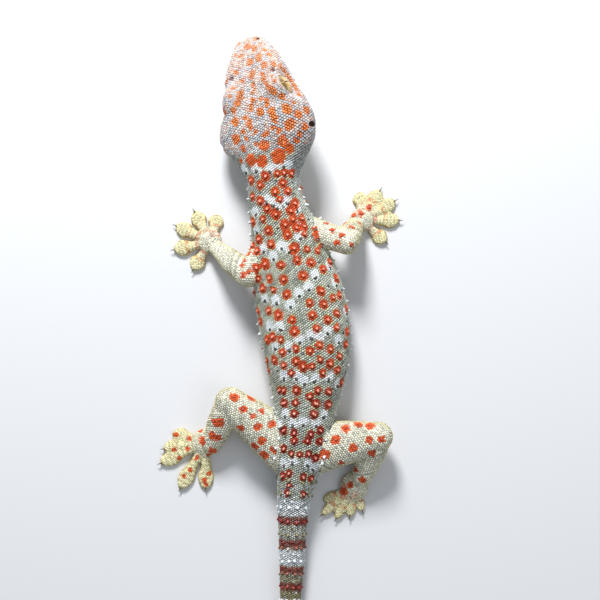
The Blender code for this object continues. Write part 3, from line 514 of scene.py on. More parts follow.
REAR_ORANGE = (
    (515, 40), (562, 40), (645, 40), (685, 45), (612, 65), (512, 90), (560, 87), (635, 90), (685, 95),
    (557, 130), (628, 130), (515, 195), (555, 205), (618, 210), (655, 195), (555, 235), (605, 235),
    (652, 235), (515, 265), (545, 285), (575, 287), (610, 285), (635, 300), (535, 360), (510, 370),
    (590, 375), (620, 380), (535, 405), (530, 435), (590, 440),
)
REAR_WHITE = (
    (520, 130), (670, 130), (550, 165), (590, 160), (640, 165), (500, 175), (515, 320), (550, 310),
    (610, 320), (630, 335),
)
LEG_ORANGE = (
    (325, 65), (388, 70), (358, 112), (430, 120), (395, 140), (415, 180), (470, 170), (350, 185),
    (430, 235), (400, 255), (475, 270), (440, 290), (245, 160), (265, 165), (240, 215), (262, 222),
    (205, 235), (240, 275), (752, 185), (800, 170), (845, 175), (715, 230), (842, 232), (890, 228),
    (780, 262), (855, 280), (735, 320), (670, 290), (790, 345), (770, 405), (815, 385), (745, 430),
)
FOOT_ORANGE = (
    (195, 195), (150, 225), (145, 265), (180, 300), (155, 345), (130, 370), (232, 315), (228, 360),
    (210, 385), (100, 210), (92, 268), (112, 300), (228, 285), (215, 400),
)
ARM_VIEW = (300.0, 190.0, 17.42)
ARM_ORANGE = (
    (385, 500), (535, 465), (610, 525), (460, 575), (565, 700), (770, 585), (720, 790), (645, 920),
    (895, 960), (895, 640), (730, 490), (930, 455), (1065, 410), (1200, 300), (1040, 580),
)
FLANK_ORANGE = ((260, 670), (270, 770), (300, 850), (360, 970))
LEFT_ARM_VIEW = (200.0, 160.0, 11.2)
LEFT_ARM_ORANGE = (
    (515, 950), (545, 1045), (475, 1185), (460, 1030), (500, 1120), (540, 1260), (480, 1290),
)

# Marks: radius of each kind, how far apart they stay, and how much longer than wide they are
MARK_RADIUS = 0.00178
LIMB_MARK_RADIUS = 0.00168
WHITE_RADIUS = 0.00190
HEAD_SPOT_SCALE = 0.00093
EYE_ROW_RADIUS = 0.0010
RECESS_RADIUS = 0.0010
FOOT_MARK_RADIUS = 0.00100
ARM_MARK_RADIUS = 0.00112
STRETCH = 1 - 1 / 1.12**2
BACK_SPACE = 0.0026
EDGE_SPACE = 0.0028
FLANK_SPACE = 0.0044
UNDER_SPACE = 0.0050

# Rows of marks that the photograph doesn't show: on the sides of the limbs and on the flanks
UNDER_MARK_PITCH = 0.0058
UNDER_MARK_START = 0.0015
UNDER_MARK_OFF = 0.0006
FLANK_ANGLES = (-14.0, -36.0, 194.0, 216.0)
FLANK_START = 0.060
FLANK_END = 0.165
FLANK_STEP = 0.0054
FLANK_UNEVEN = 0.0011

# Rings of the tail: its level there, and the rows of the rear enlargement where each begins and ends
TAIL_LEVEL = 0.008
TAIL_WHITE_ROWS = ((458, 520), (652, 704))
TAIL_RED_ROWS = ((524, 557), (612, 648), (718, 748), (782, 813))

# Where the colours change: the end of the head's, of the white marks and of the palms' round each hand
HEAD_END = 0.045
WHITES_END = 0.176
PALM_REACH = 0.0030
PALM_FADE = 0.0050

# Outlines of marks and rings: how ragged and how soft they are, and the yellow rim round the orange
WHITE_RAGGED = 0.0003
LIMB_RAGGED = 0.00050
HEAD_RAGGED = 0.00036
BACK_RAGGED = 0.00018
WHITE_SOFT = 0.0004
MARK_SOFT = 0.00025
RIM_REACH = 0.00022
RIM_WIDTH = 0.0003
RING_WAVE = 0.0005
WHITE_RING_SOFT = 0.0009
RED_RING_SOFT = 0.0010
WHORL_SOFT = 0.0012


def curve_through(x, knots, values):
    """Smooth curve through the values that doesn't swing past them between knots."""
    knots = np.asarray(knots, float)
    values = np.asarray(values, float)
    step = np.diff(knots)
    slope = np.diff(values) / step
    tangent = np.zeros_like(values)
    tangent[0] = slope[0]
    tangent[-1] = slope[-1]
    for i in range(1, len(values) - 1):
        if slope[i - 1] * slope[i] > 0:
            before = 2 * step[i] + step[i - 1]
            after = step[i] + 2 * step[i - 1]
            tangent[i] = (before + after) / (before / slope[i - 1] + after / slope[i])
    i = np.clip(np.searchsorted(knots, x, side="right") - 1, 0, len(step) - 1)
    t = np.clip((x - knots[i]) / step[i], 0.0, 1.0)
    rise = values[i] + (values[i + 1] - values[i]) * t * t * (3 - 2 * t)
    return rise + step[i] * t * (1 - t) * (tangent[i] * (1 - t) - tangent[i + 1] * t)


def rows_of(things):
    """Places or directions as the rows of an array."""
    return np.array([tuple(each) for each in things])


def places_of(spots):
    return [place for place, _ in spots]


def chance(number):
    """A seeded source of random numbers for each use."""
    return np.random.default_rng(SEED + number)


def eased(share):
    """A share that starts and ends gently."""
    return share * share * (3 - 2 * share)


def level_with(vectors, normals):
    """The rows without their parts along the normals."""
    return vectors - normals * (vectors * normals).sum(1)[:, None]


def unit(vectors):
    return vectors / np.maximum(np.linalg.norm(vectors, axis=1), 1e-9)[:, None]


def graded(at, stops, rows):
    """Colours or places in between those that are given at the stops."""
    rows = np.asarray(rows)
    return np.stack([np.interp(at, stops, rows[:, i]) for i in range(3)], -1)


def rounded(value, half, power):
    """A half size drawn out by the power towards a squarer outline."""
    return half * np.sign(value) * np.abs(value) ** power


def column_at(at, table, column, first=0):
    """One column of a table, smoothly in between its rows."""
    return curve_through(at, [row[first] for row in table], [row[column] for row in table])


def station(distance, column):
    """One measure of the body at a distance behind the snout."""
    return column_at(distance, BODY, column, 1)


def midline_table():
    """Plan places along the midline, found by adding up its headings."""
    along = np.linspace(0.0, TAIL_TIP, TABLE_STEPS)
    turn = np.radians(column_at(along, HEADINGS, 1))
    step = along[1] - along[0]
    places = []
    for start, way in ((SNOUT_X, -np.sin(turn)), (SNOUT_Y, np.cos(turn))):
        places.append(start + np.concatenate([[0.0], np.cumsum((way[1:] + way[:-1]) / 2 * step)]))
    return along, turn, *places


def body_frame(distance):
    """Middle of the body there, with its leftward, upward and tailward directions."""
    distance = np.asarray(distance, float)
    turn = np.interp(distance, ALONG, TURN)
    plan = [np.interp(distance, ALONG, line) for line in (MID_X, MID_Y)]
    middle = np.stack([*plan, station(distance, 5)], -1)
    flat = np.zeros_like(turn)
    back = np.stack([-np.sin(turn), np.cos(turn), flat], -1)
    level = np.stack([np.cos(turn), np.sin(turn), flat], -1)
    fade = eased(np.clip((LEAN_END - distance) / (LEAN_END - NAPE), 0.0, 1.0))[..., None]
    roll = HEAD_ROLL * fade
    pitch = HEAD_PITCH * fade
    tailward = back * np.cos(pitch) + UP * np.sin(pitch)
    rise = UP * np.cos(pitch) - back * np.sin(pitch)
    left = level * np.cos(roll) - rise * np.sin(roll)
    return middle, left, rise * np.cos(roll) + level * np.sin(roll), tailward


def swelling(distance, angle, shape, mirrored=True):
    """Height of one rounded swelling of the head, on both sides if it is mirrored."""
    middle, bearing, length, spread, height = shape
    sides = (bearing, 180.0 - bearing) if mirrored else (bearing,)
    total = 0.0
    for side in sides:
        away = (np.degrees(angle) - side + 180.0) % 360.0 - 180.0
        total = total + height * np.exp(-(((distance - middle) / length) ** 2) - (away / spread) ** 2)
    return total


def head_relief(distance, angle):
    """Height of all swellings and hollows of the head."""
    paired = sum(swelling(distance, angle, shape) for shape in (BROW, TEMPLE, CHEEK))
    relief = paired + swelling(distance, angle, FOREHEAD, mirrored=False)
    return relief + swelling(distance, angle, CHIN, mirrored=False)


def body_surface(distance, angle):
    """Points of the skin of head, trunk and tail. Angle 0 is the left side, a quarter turn is up."""
    distance, angle = np.broadcast_arrays(np.asarray(distance, float), np.asarray(angle, float))
    over = np.sin(angle)
    power = 2.0 / np.where(over >= 0, station(distance, 6), station(distance, 7))
    half_height = np.where(over >= 0, station(distance, 3), station(distance, 4))
    b = rounded(np.cos(angle), station(distance, 2), power)
    c = rounded(over, half_height, power)
    reach = np.maximum(np.hypot(b, c), 1e-9)
    swell = 1.0 + head_relief(distance, angle) * np.clip(reach / RELIEF_REACH, 0.0, 1.0) / reach
    middle, left, up, _ = body_frame(distance)
    return above_floor(middle + left * (b * swell)[..., None] + up * (c * swell)[..., None])


def head_place(back, out, rise):
    """A point of the head from its distance behind the snout, leftward and upward of the midline."""
    middle, left, up, _ = body_frame(back)
    return Vector(middle + left * out + up * rise)


def head_directions(back, side=1):
    """Columns tailward, outward and upward at that place of the head."""
    _, left, up, tailward = body_frame(back)
    return Matrix((Vector(tailward), Vector(left * side), Vector(up))).transposed()


def place_of(joint):
    """World place of a limb joint."""
    left, back, height = joint
    return np.array((JOINTS_X + left, JOINTS_Y + back, height))


def above_floor(points, least=0.0):
    """The points with none lower than the least height."""
    points[..., 2] = np.maximum(points[..., 2], least)
    return points


def limb_surface(start, end, shape, place, angle):
    """Points of a limb with rounded ends, at distances from its start and angles round it."""
    along = end - start
    length = np.linalg.norm(along)
    along = along / length
    side = np.cross(along, UP)
    side = side / np.linalg.norm(side)
    up = np.cross(side, along)
    place, angle = np.broadcast_arrays(np.asarray(place, float), np.asarray(angle, float))
    share = np.clip(place / length, 0.0, 1.0)
    beyond = np.where(place > length, (place - length) / shape[-1][1], 0.0)
    past = np.where(place < 0, -place / shape[0][1], beyond)
    round_off = np.sqrt(np.maximum(1.0 - past**2, 0.0))
    bulge = 2.0 / LIMB_SQUARENESS
    wide = rounded(np.cos(angle), column_at(share, shape, 1) * round_off, bulge)
    tall = rounded(np.sin(angle), column_at(share, shape, 2) * round_off, bulge)
    return above_floor(start + along * place[..., None] + side * wide[..., None] + up * tall[..., None])


def toe_width(palm):
    """The share of their full width that the toes of a foot have: less on the one that is half folded."""
    away = np.linalg.norm(np.asarray(palm) - place_of(FOLDED_FOOT))
    return FOLDED_WIDTH if away < MILLIMETRE else 1.0


def heading_way(degrees):
    """The level direction of a toe."""
    turn = math.radians(degrees)
    return np.array((math.cos(turn), math.sin(turn), 0.0))


def toe_surface(palm, heading, length, share, angle):
    """Points of a toe at shares of its length and angles round it, its sole on the floor."""
    way = heading_way(heading)
    side = np.cross(way, UP)
    share, angle = np.broadcast_arrays(np.asarray(share, float), np.asarray(angle, float))
    tip = np.sqrt(np.clip(1.0 - np.clip((share - 0.94) / 0.09, 0.0, 1.0) ** 2, 0.0, 1.0))
    width = toe_width(palm) * column_at(np.minimum(share, 1.0), TOE, 1) * tip
    height = column_at(np.minimum(share, 1.0), TOE, 2) * tip
    level = TOE_PAD_HEIGHT + (TOE_ROOT_HEIGHT - TOE_PAD_HEIGHT) * np.clip(1 - share / 0.7, 0.0, 1.0)
    middle = palm * (1, 1, 0) + way * (share * length)[..., None] + UP * level[..., None]
    across = side * (width * np.cos(angle))[..., None]
    return above_floor(middle + across + UP * (height * np.sin(angle))[..., None])


def mouth_drop(back):
    """How far the mouth line lies under the head's widest level."""
    share = back / MOUTH_CORNER
    sloping = MOUTH_FRONT_DROP + (MOUTH_CORNER_DROP - MOUTH_FRONT_DROP) * share
    return sloping + MOUTH_SAG * np.sin(math.pi * share)


def mouth_path(inset=LIP_INSET, raised=0.0, count=9):
    """Places along the lips from the left corner round the snout to the right corner."""
    backs = MOUTH_CORNER * np.linspace(1.0, 0.18, count) ** 1.9
    drop = mouth_drop(backs)
    out = station(backs, 2) * (1 - (drop / station(backs, 4)) ** 2.2) ** (1 / 2.2) - inset
    left, right = (
        [head_place(b, side * o, raised - d) for b, o, d in zip(backs, out, drop)] for side in (1, -1)
    )
    return left + [head_place(inset + 0.0002, 0.0, raised - mouth_drop(0.0))] + right[::-1]


def eye_centre(side):
    return head_place(EYE_BACK, side * EYE_OUT, EYE_UP)


def eye_axis(side):
    return (head_directions(EYE_BACK, side) @ EYE_LOOK).normalized()


def mesh_object(name, points, faces):
    """An object in the scene from points and faces."""
    mesh = bpy.data.meshes.new(name)
    mesh.from_pydata([tuple(p) for p in points], [], [tuple(f) for f in faces])
    thing = bpy.data.objects.new(name, mesh)
    bpy.context.scene.collection.objects.link(thing)
    return thing


def outward(thing):
    """Turns the faces of a closed object outwards."""
    made = bmesh.new()
    made.from_mesh(thing.data)
    bmesh.ops.recalc_face_normals(made, faces=made.faces)
    if made.calc_volume(signed=True) < 0:
        bmesh.ops.reverse_faces(made, faces=made.faces)
    made.to_mesh(thing.data)
    made.free()
    return thing


def shell(rings, front=None, back=None):
    """Points and faces of a closed surface through rings, each end a flat cap or a fan to its pole."""
    count, sides = rings.shape[:2]
    points = list(rings.reshape(-1, 3))
    faces = []
    for ring in range(count - 1):
        for side in range(sides):
            here = ring * sides + side
            beside = ring * sides + (side + 1) % sides
            faces.append((here, beside, beside + sides, here + sides))
    for pole, first in ((front, 0), (back, (count - 1) * sides)):
        if pole is None:
            faces.append(tuple(range(first, first + sides)))
            continue
        points.append(pole)
        tip = len(points) - 1
        faces.extend((first + side, first + (side + 1) % sides, tip) for side in range(sides))
    return points, faces


def ball(centre, half, axes=None, segments=40, rings=24):
    """Points and faces of a ball stretched to half sizes along the columns of axes."""
    made = bmesh.new()
    bmesh.ops.create_uvsphere(made, u_segments=segments, v_segments=rings, radius=1.0)
    turn = (axes or Matrix.Identity(3)).to_4x4()
    place = Matrix.Translation(centre) @ turn @ Matrix.Diagonal((*half, 1.0))
    bmesh.ops.transform(made, matrix=place, verts=made.verts)
    points = [tuple(v.co) for v in made.verts]
    faces = [tuple(v.index for v in f.verts) for f in made.faces]
    made.free()
    return points, faces


def round_the(sides):
    return np.arange(sides) / sides * 2 * math.pi


def ring_at(middle, across, over, radius, sides):
    """Places of one ring round a middle."""
    return [tuple(middle + (across * math.cos(a) + over * math.sin(a)) * radius) for a in round_the(sides)]


def tube(path, radius, sides=10):
    """Points and faces of a round tube along a path."""
    rings = []
    for i, point in enumerate(path):
        along = (path[min(i + 1, len(path) - 1)] - path[max(i - 1, 0)]).normalized()
        across = along.cross(Vector(UP)).normalized()
        rings.append(ring_at(point, across, across.cross(along), radius, sides))
    return shell(np.array(rings))


def with_poles(rings):
    """A closed surface through rings whose ends are rounded off already."""
    return shell(rings, rings[0].mean(0), rings[-1].mean(0))


def segments_of(limb):
    """The upper and the lower length of a limb: start, end and thickness of each."""
    _, root, bend, end, upper, lower, *_ = limb
    return (place_of(root), place_of(bend), upper), (place_of(bend), place_of(end), lower)


def toes_of(limb):
    """Each toe of a limb: where its foot is, its heading and its length."""
    return [(place_of(limb[6]), heading, length) for heading, length in limb[8]]


def flesh():
    """Closed overlapping surfaces of the whole animal, as pairs of points and faces."""
    backs = np.concatenate([SNOUT_RINGS, np.arange(BODY_RINGS_START, TAIL_TIP, RING_STEP), [TAIL_TIP]])
    rings = body_surface(backs[:, None], round_the(72)[None, :])
    parts = [shell(rings, front=head_place(0.0, 0.0, 0.0)), tube(mouth_path(), LIP_RADIUS)]
    for side in (1, -1):
        parts.append(ball(eye_centre(side), ORBIT_HALF, head_directions(EYE_BACK, side)))
    for limb in LIMBS:
        parts += [limb_shell(*segment) for segment in segments_of(limb)]
        parts.append(ball(Vector(place_of(limb[6])), limb[7]))
        parts += [toe_shell(*toe) for toe in toes_of(limb)]
    return parts


def limb_shell(start, end, shape):
    length = np.linalg.norm(end - start)
    reach = 0.5 - 0.5 * np.cos(np.linspace(0.0, math.pi, 42)[1:-1])
    place = -shape[0][1] + (length + shape[0][1] + shape[-1][1]) * reach
    return with_poles(limb_surface(start, end, shape, place[:, None], round_the(40)[None, :]))


def toe_shell(palm, heading, length):
    share = np.concatenate([np.linspace(0.08, 0.92, 22), np.linspace(0.94, 1.025, 7)])
    return with_poles(toe_surface(palm, heading, length, share[:, None], round_the(20)[None, :]))


def changed(thing):
    """Takes what an object's modifiers make of its mesh as its mesh."""
    graph = bpy.context.evaluated_depsgraph_get()
    mesh = bpy.data.meshes.new_from_object(thing.evaluated_get(graph))
    thing.modifiers.clear()
    thing.data = mesh
    return thing


def fused(parts, cell):
    """One mesh object round all the closed parts."""
    points, faces = [], []
    for more_points, more_faces in parts:
        first = len(points)
        points.extend(more_points)
        faces.extend(tuple(index + first for index in face) for face in more_faces)
    thing = outward(mesh_object("skin", points, faces))
    change = thing.modifiers.new("remesh", "REMESH")
    change.mode = "VOXEL"
    change.voxel_size = cell
    return changed(thing)


def fetched(items, name, width, kind=float):
    """A field of a mesh's points, normals or edges, a row for each."""
    flat = np.empty(len(items) * width, kind)
    items.foreach_get(name, flat)
    return flat.reshape(-1, width)


def points_of(mesh):
    return fetched(mesh.vertices, "co", 3)


def spread(points, edges, weight):
    """Each point moved towards the middle of its neighbours by its weight."""
    count = len(points)
    degree = np.maximum(np.bincount(edges.ravel(), minlength=count), 1)
    total = np.empty_like(points)
    for axis in range(3):
        pull = np.bincount(edges[:, 0], points[edges[:, 1], axis], count)
        total[:, axis] = pull + np.bincount(edges[:, 1], points[edges[:, 0], axis], count)
    return points + (total / degree[:, None] - points) * weight


def smoothed(points, edges, rounds, mask=1.0):
    """Takes the cell steps out of the surface without shrinking it."""
    for _ in range(rounds):
        points = spread(points, edges, 0.5 * mask)
        points = spread(points, edges, -0.52 * mask)
    return points


def closeness(points, places, reach):
    """One at the places, falling to nothing past their reach."""
    most = np.zeros(len(points))
    for place in places:
        away = np.linalg.norm(points - np.array(place), axis=1)
        most = np.maximum(most, np.exp(-((away / reach) ** 2)))
    return most[:, None]


def relaxed(points, edges, mask, rounds):
    """The points drawn towards their neighbours where the mask is high."""
    for _ in range(rounds):
        points = spread(points, edges, 0.5 * mask)
    return points


def flatten_orbits(points):
    """Presses the orbits down to a wide flare round each eye's opening."""
    for side in (1, -1):
        axis = np.array(eye_axis(side))
        start = np.array(eye_centre(side)) + axis * (LID_OUT - FLARE_SINK)
        high = np.array(head_directions(EYE_BACK, side).col[2])
        over = high - axis * (high @ axis)
        over = over / np.linalg.norm(over)
        offset = points - start
        height = offset @ axis
        level = offset - height[:, None] * axis
        away = np.linalg.norm(level, axis=1)
        brow = eased(0.5 + 0.5 * (level @ over) / np.maximum(away, 1e-6))
        flare = LID_BEVEL_DEPTH * np.clip((away - LID_OPENING) / LID_BEVEL_WIDTH, 0.0, None)
        flare = flare * (1.0 - 0.75 * brow) + BROW_BASE * brow
        near = np.linalg.norm(offset, axis=1) < FLARE_END
        down = np.where(near & (height > flare), height - flare, 0.0)
        points = points - down[:, None] * axis
    return points


def dented(points):
    """Presses the small hollow before each eye into the skin."""
    tree = BVHTree.FromPolygons(points.tolist(), SKIN_FACES)
    for x, y, radius in EYE_RECESSES:
        place, normal = photo_spot(tree, x, y)
        away = np.linalg.norm(points - np.array(place), axis=1)
        depth = RECESS_DEPTH * np.exp(-((away / (radius * MILLIMETRE)) ** 2))
        points = points - depth[:, None] * np.array(normal)
    return points


def camera_place():
    middle = PHOTO_SIDE / 2
    x = JOINTS_X - (middle - JOINTS_PIXEL[0]) / PIXELS_PER_METRE
    y = JOINTS_Y + (middle - JOINTS_PIXEL[1]) / PIXELS_PER_METRE
    return Vector((x, y, BODY_LEVEL + CAMERA_REACH))


def photo_spot(tree, x, y):
    """Where the line of sight through a pixel of the photograph meets the skin, with the way out of it."""
    middle = PHOTO_SIDE / 2
    across = -(x - middle) / PIXELS_PER_METRE
    down = (y - middle) / PIXELS_PER_METRE
    place, normal, _, _ = tree.ray_cast(camera_place(), Vector((across, down, -CAMERA_REACH)).normalized())
    return place, normal


def make_skin():
    """The skin with no openings cut yet."""
    thing = fused(flesh(), SKIN_CELL)
    mesh = thing.data
    edges = fetched(mesh.edges, "vertices", 2, int)
    points = smoothed(points_of(mesh), edges, SKIN_SMOOTHING)
    roots = []
    for limb in LIMBS:
        start, end, _ = segments_of(limb)[0]
        roots += [start * (1 - share) + end * share for share in (0.2, 0.45)]
    points = relaxed(points, edges, closeness(points, roots, ROOT_REACH), ROOT_SMOOTHING)
    points = flatten_orbits(points)
    SKIN_FACES.extend(tuple(face.vertices) for face in mesh.polygons)
    points = dented(points)
    set_points(mesh, points)
    uneven = sum(depth * noise_at(points, fineness, shift) for depth, fineness, shift in SKIN_UNEVEN)
    points = points + fetched(mesh.vertex_normals, "vector", 3) * uneven[:, None]
    around_eyes = closeness(points, [eye_centre(1), eye_centre(-1)], EYE_SMOOTH_REACH)
    set_points(mesh, above_floor(relaxed(points, edges, around_eyes, 4), SKIN_FLOOR))
    return thing


def body_pitch(distance):
    return float(np.interp(distance, PITCH_STOPS, PITCH_THERE))


def set_points(mesh, points):
    mesh.vertices.foreach_set("co", points.ravel())
    mesh.update()


def row_places(surface, start, end, pitch):
    """Distances of the rows, their steps measured over the surface itself."""
    places = [start]
    while places[-1] < end:
        here = places[-1]
        stretch = surface(here + PROBE, UPPER_TURNS) - surface(here, UPPER_TURNS)
        steep = np.linalg.norm(stretch, axis=1).mean()
        places.append(here + pitch(here) * OBLIQUE_STEP * PROBE / max(steep, PROBE / 2))
    return places[:-1]


def rows_on(surface, start, end, pitch_at, low=-2.0, high=2.0):
    """Places on surface(distance, angle) in oblique rows, each with the number of its row.

    Only places with the sine of their angle in range are kept.
    """
    turn = np.linspace(-math.pi, math.pi, 361)
    found = []
    for row, distance in enumerate(row_places(surface, start, end, pitch_at)):
        apart = OBLIQUE_APART * pitch_at(distance)
        ring = surface(distance, math.pi / 2 + turn)
        arc = np.concatenate([[0.0], np.cumsum(np.linalg.norm(np.diff(ring, axis=0), axis=1))])
        arc = arc - arc[180]
        column = np.arange(int(arc[0] / apart) - 1, int(arc[-1] / apart) + 2) + 0.5 * (row % 2)
        column = column[(column * apart > arc[0]) & (column * apart < arc[-1])]
        angle = math.pi / 2 + np.interp(column * apart, arc, turn)
        level = np.sin(angle)
        keep = (level >= low) & (level < high)
        found.append(np.stack([np.full(keep.sum(), distance), angle[keep], column[keep] + 0.5 * row], -1))
    return np.concatenate(found).T


def scales_on(surface, span, pitch, region, chart, low=-2.0, high=2.0):
    """Scales in rows on a surface, before they settle on the skin."""
    start, end = span
    pitch_at = pitch if callable(pitch) else lambda _: pitch
    distance, angle, line = rows_on(surface, start, end, pitch_at, low, high)
    place = surface(distance, angle)
    tail = unit(surface(distance + TAIL_PROBE, angle) - place)
    pitches = [pitch_at(each) for each in distance]
    u = (distance - start) / (end - start)
    v = (angle / (2 * math.pi)) % 1.0
    behind = distance if chart == 0 else -1.0
    return scale_set(place, tail, pitches, chart, u, v, region, behind, np.round(line).astype(int))


def joined(sets):
    return {key: np.concatenate([each[key] for each in sets]) for key in sets[0]}


def picked(scales, keep):
    return {key: values[keep] for key, values in scales.items()}


def settled(scales, tree, most_off):
    """The scales moved onto the skin, without those that lie deep inside another part."""
    keep, place, normal = [], [], []
    for i, point in enumerate(scales["place"]):
        here, way, _, away = tree.find_nearest(Vector(point))
        if away < most_off:
            keep.append(i)
            place.append(here)
            normal.append(way)
    scales = picked(scales, np.array(keep, int))
    scales["place"] = np.array(place)
    scales["normal"] = np.array(normal)
    return scales


def tree_of(places):
    tree = KDTree(len(places))
    for i, place in enumerate(places):
        tree.insert(place, i)
    tree.balance()
    return tree


def far_from(scales, places, least):
    """The scales farther from the nearest of the places than least(scale, place)."""
    tree = tree_of(places)
    found = [tree.find(place) for place in scales["place"]]
    keep = [i for i, (_, other, away) in enumerate(found) if away > least(i, other)]
    return picked(scales, np.array(keep, int))


def apart_from(scales, others, share=0.72):
    """The scales that don't crowd the others."""
    def least(i, other):
        return share * 0.5 * (scales["pitch"][i] + others["pitch"][other])

    return far_from(scales, others["place"], least)


def fill_gaps(scales, points, normals, share, smaller):
    """More scales on the skin's points that no scale is near, each like its nearest neighbour."""
    tree = tree_of(scales["place"])
    steps = [(a, b, c) for a in (-1, 0, 1) for b in (-1, 0, 1) for c in (-1, 0, 1)]
    cells = {}
    added, like = [], []
    for i in chance(0).permutation(len(points)):
        point = points[i]
        _, nearest, away = tree.find(point)
        least = share * scales["pitch"][nearest]
        if away < least or in_opening(point, 1.0):
            continue
        key = tuple((point / GAP_CELL).astype(int))
        around = [tuple(a + b for a, b in zip(key, step)) for step in steps]
        if any(np.linalg.norm(points[j] - point) < least for cell in around for j in cells.get(cell, ())):
            continue
        cells.setdefault(key, []).append(i)
        added.append(i)
        like.append(nearest)
    if not added:
        return scales
    more = picked(scales, np.array(like))
    more["place"] = points[added]
    more["normal"] = normals[added]
    more["pitch"] = more["pitch"] * smaller
    return joined([scales, more])


def in_opening(point, grow):
    """Whether a place lies in an eye's opening, an ear, a nostril or the mouth's slit."""
    point = Vector(point)
    for eye in EYES:
        offset = point - eye["centre"]
        height = offset.dot(eye["axis"])
        level = (offset - eye["axis"] * height).length
        if height > 0 and level < (LID_OPENING + 0.7 * LID_RADIUS) * grow:
            return True
    for place, axes, half in PITS:
        local = axes.transposed() @ (point - place)
        if sum((each / size) ** 2 for each, size in zip(local, half)) < 1.15 * grow:
            return True
    if point.y > MOUTH_LINE[:, 1].max() + MILLIMETRE:
        return False
    return float(np.linalg.norm(MOUTH_LINE - np.array(point), axis=1).min()) < MOUTH_CLEAR * grow


def surface_spot(back, degrees):
    """A place on the body's skin, with the outward and tailward directions there."""
    angle = math.radians(degrees)
    here = body_surface(back, angle)
    along = body_surface(back + SPOT_PROBE, angle) - here
    round_it = body_surface(back, angle + 0.02) - here
    out = Vector(np.cross(round_it, along)).normalized()
    if out.dot(Vector(here - body_frame(back)[0])) < 0:
        out.negate()
    return Vector(here), out, Vector(along).normalized()


def make_pits():
    """Ears and nostrils as places with axes and half sizes."""
    pits = []
    for side in (1, -1):
        ear, nostril = (angle if side > 0 else 180.0 - angle for angle in (EAR_ANGLE, NOSTRIL_ANGLE))
        here, out, along = surface_spot(EAR_BACK, ear)
        up = out.cross(along) * side
        pits.append((here, Matrix((along, out, up)).transposed(), tuple(EAR_HALF * 0.84)))
        here, _, _ = surface_spot(NOSTRIL_BACK, nostril)
        pits.append((here, Matrix.Identity(3), (NOSTRIL_RADIUS,) * 3))
    return pits


def ring_scales(eye, chart):
    """Rings of small scales on the orbit round the eye's opening."""
    across = head_directions(EYE_BACK, eye["side"]).col[0].copy()
    across = (across - eye["axis"] * across.dot(eye["axis"])).normalized()
    over = eye["axis"].cross(across)
    place, tail, u, v = [], [], [], []
    for row, away in enumerate(np.arange(ORBIT_START, ORBIT_END, ORBIT_PITCH * ROW_STEP)):
        count = int(2 * math.pi * away / ORBIT_PITCH)
        for k in range(count):
            turn = 2 * math.pi * (k + 0.5 * (row % 2)) / count
            spoke = across * math.cos(turn) + over * math.sin(turn)
            start = eye["centre"] + spoke * away + eye["axis"] * ORBIT_RAY
            here, _, _, _ = SKIN_TREE.ray_cast(start, -eye["axis"], ORBIT_RAY_LENGTH)
            if here is None or (here - eye["centre"]).length > ORBIT_REACH:
                continue
            place.append(here)
            tail.append(spoke)
            u.append(0.5 + 0.5 * away / ORBIT_END * math.cos(turn))
            v.append(0.5 + 0.5 * away / ORBIT_END * math.sin(turn))
    return scale_set(place, tail, ORBIT_PITCH, chart, u, v)


def scale_set(place, tail, pitch, chart, u, v, region=HEAD, behind=EYE_BACK, line=0):
    """Scales as a table: their places, directions and sizes, and where each lies on the unwrap."""
    made = {"place": rows_of(place), "tail": rows_of(tail)}
    each = {"pitch": pitch, "region": region, "chart": chart, "u": u, "v": v, "behind": behind, "line": line}
    for key, value in each.items():
        made[key] = np.broadcast_to(value, (len(place),)).copy()
    return made


def head_scales(places, tails, pitch, chart):
    """Single scales of the head at given places."""
    count = len(places)
    return scale_set(places, tails, pitch, chart, np.linspace(0.1, 0.9, count), np.linspace(0.9, 0.1, count))


def rim_scales():
    """A ring of small scales round each ear and nostril."""
    sets = []
    for place, axes, half in PITS:
        ear = half[2] > MILLIMETRE
        pitch = EAR_PITCH if ear else NOSTRIL_PITCH
        _, normal, _, _ = SKIN_TREE.find_nearest(place)
        over = normal.cross(Vector((1, 0, 0))).normalized()
        found, ways = [], []
        for turn in np.arange(22 if ear else 9) * 2 * math.pi / (22 if ear else 9):
            spoke = axes @ Vector((half[0] * math.cos(turn), 0.0, half[2] * math.sin(turn)))
            if not ear:
                spoke = (over * math.cos(turn) + over.cross(normal) * math.sin(turn)) * half[0]
            found.append(place + spoke * 1.12 + spoke.normalized() * 0.5 * pitch)
            ways.append(spoke.normalized())
        sets.append(settled(head_scales(found, ways, pitch, 1), SKIN_TREE, RIM_OFF))
    return joined(sets)


def lid_section(eye, turn):
    """The lid's tube at a turn round the eye: spoke, reach and lift of its middle, and its thickness."""
    axis, over, across = lid_axes(eye)
    spoke = across * math.cos(turn) + over * math.sin(turn)
    brow = eased(0.5 + 0.5 * math.sin(turn))
    reach = LID_OPENING + LID_RADIUS - BROW_REACH * brow + LID_CORNER * math.cos(turn) ** 4
    return spoke, reach, BROW_LIFT * brow - LID_SINK, LID_RADIUS * (0.72 + 0.93 * brow)


def lid_axes(eye):
    axis = eye["axis"]
    high = Vector(head_directions(EYE_BACK, eye["side"]).col[2])
    over = (high - axis * high.dot(axis)).normalized()
    return axis, over, over.cross(axis)


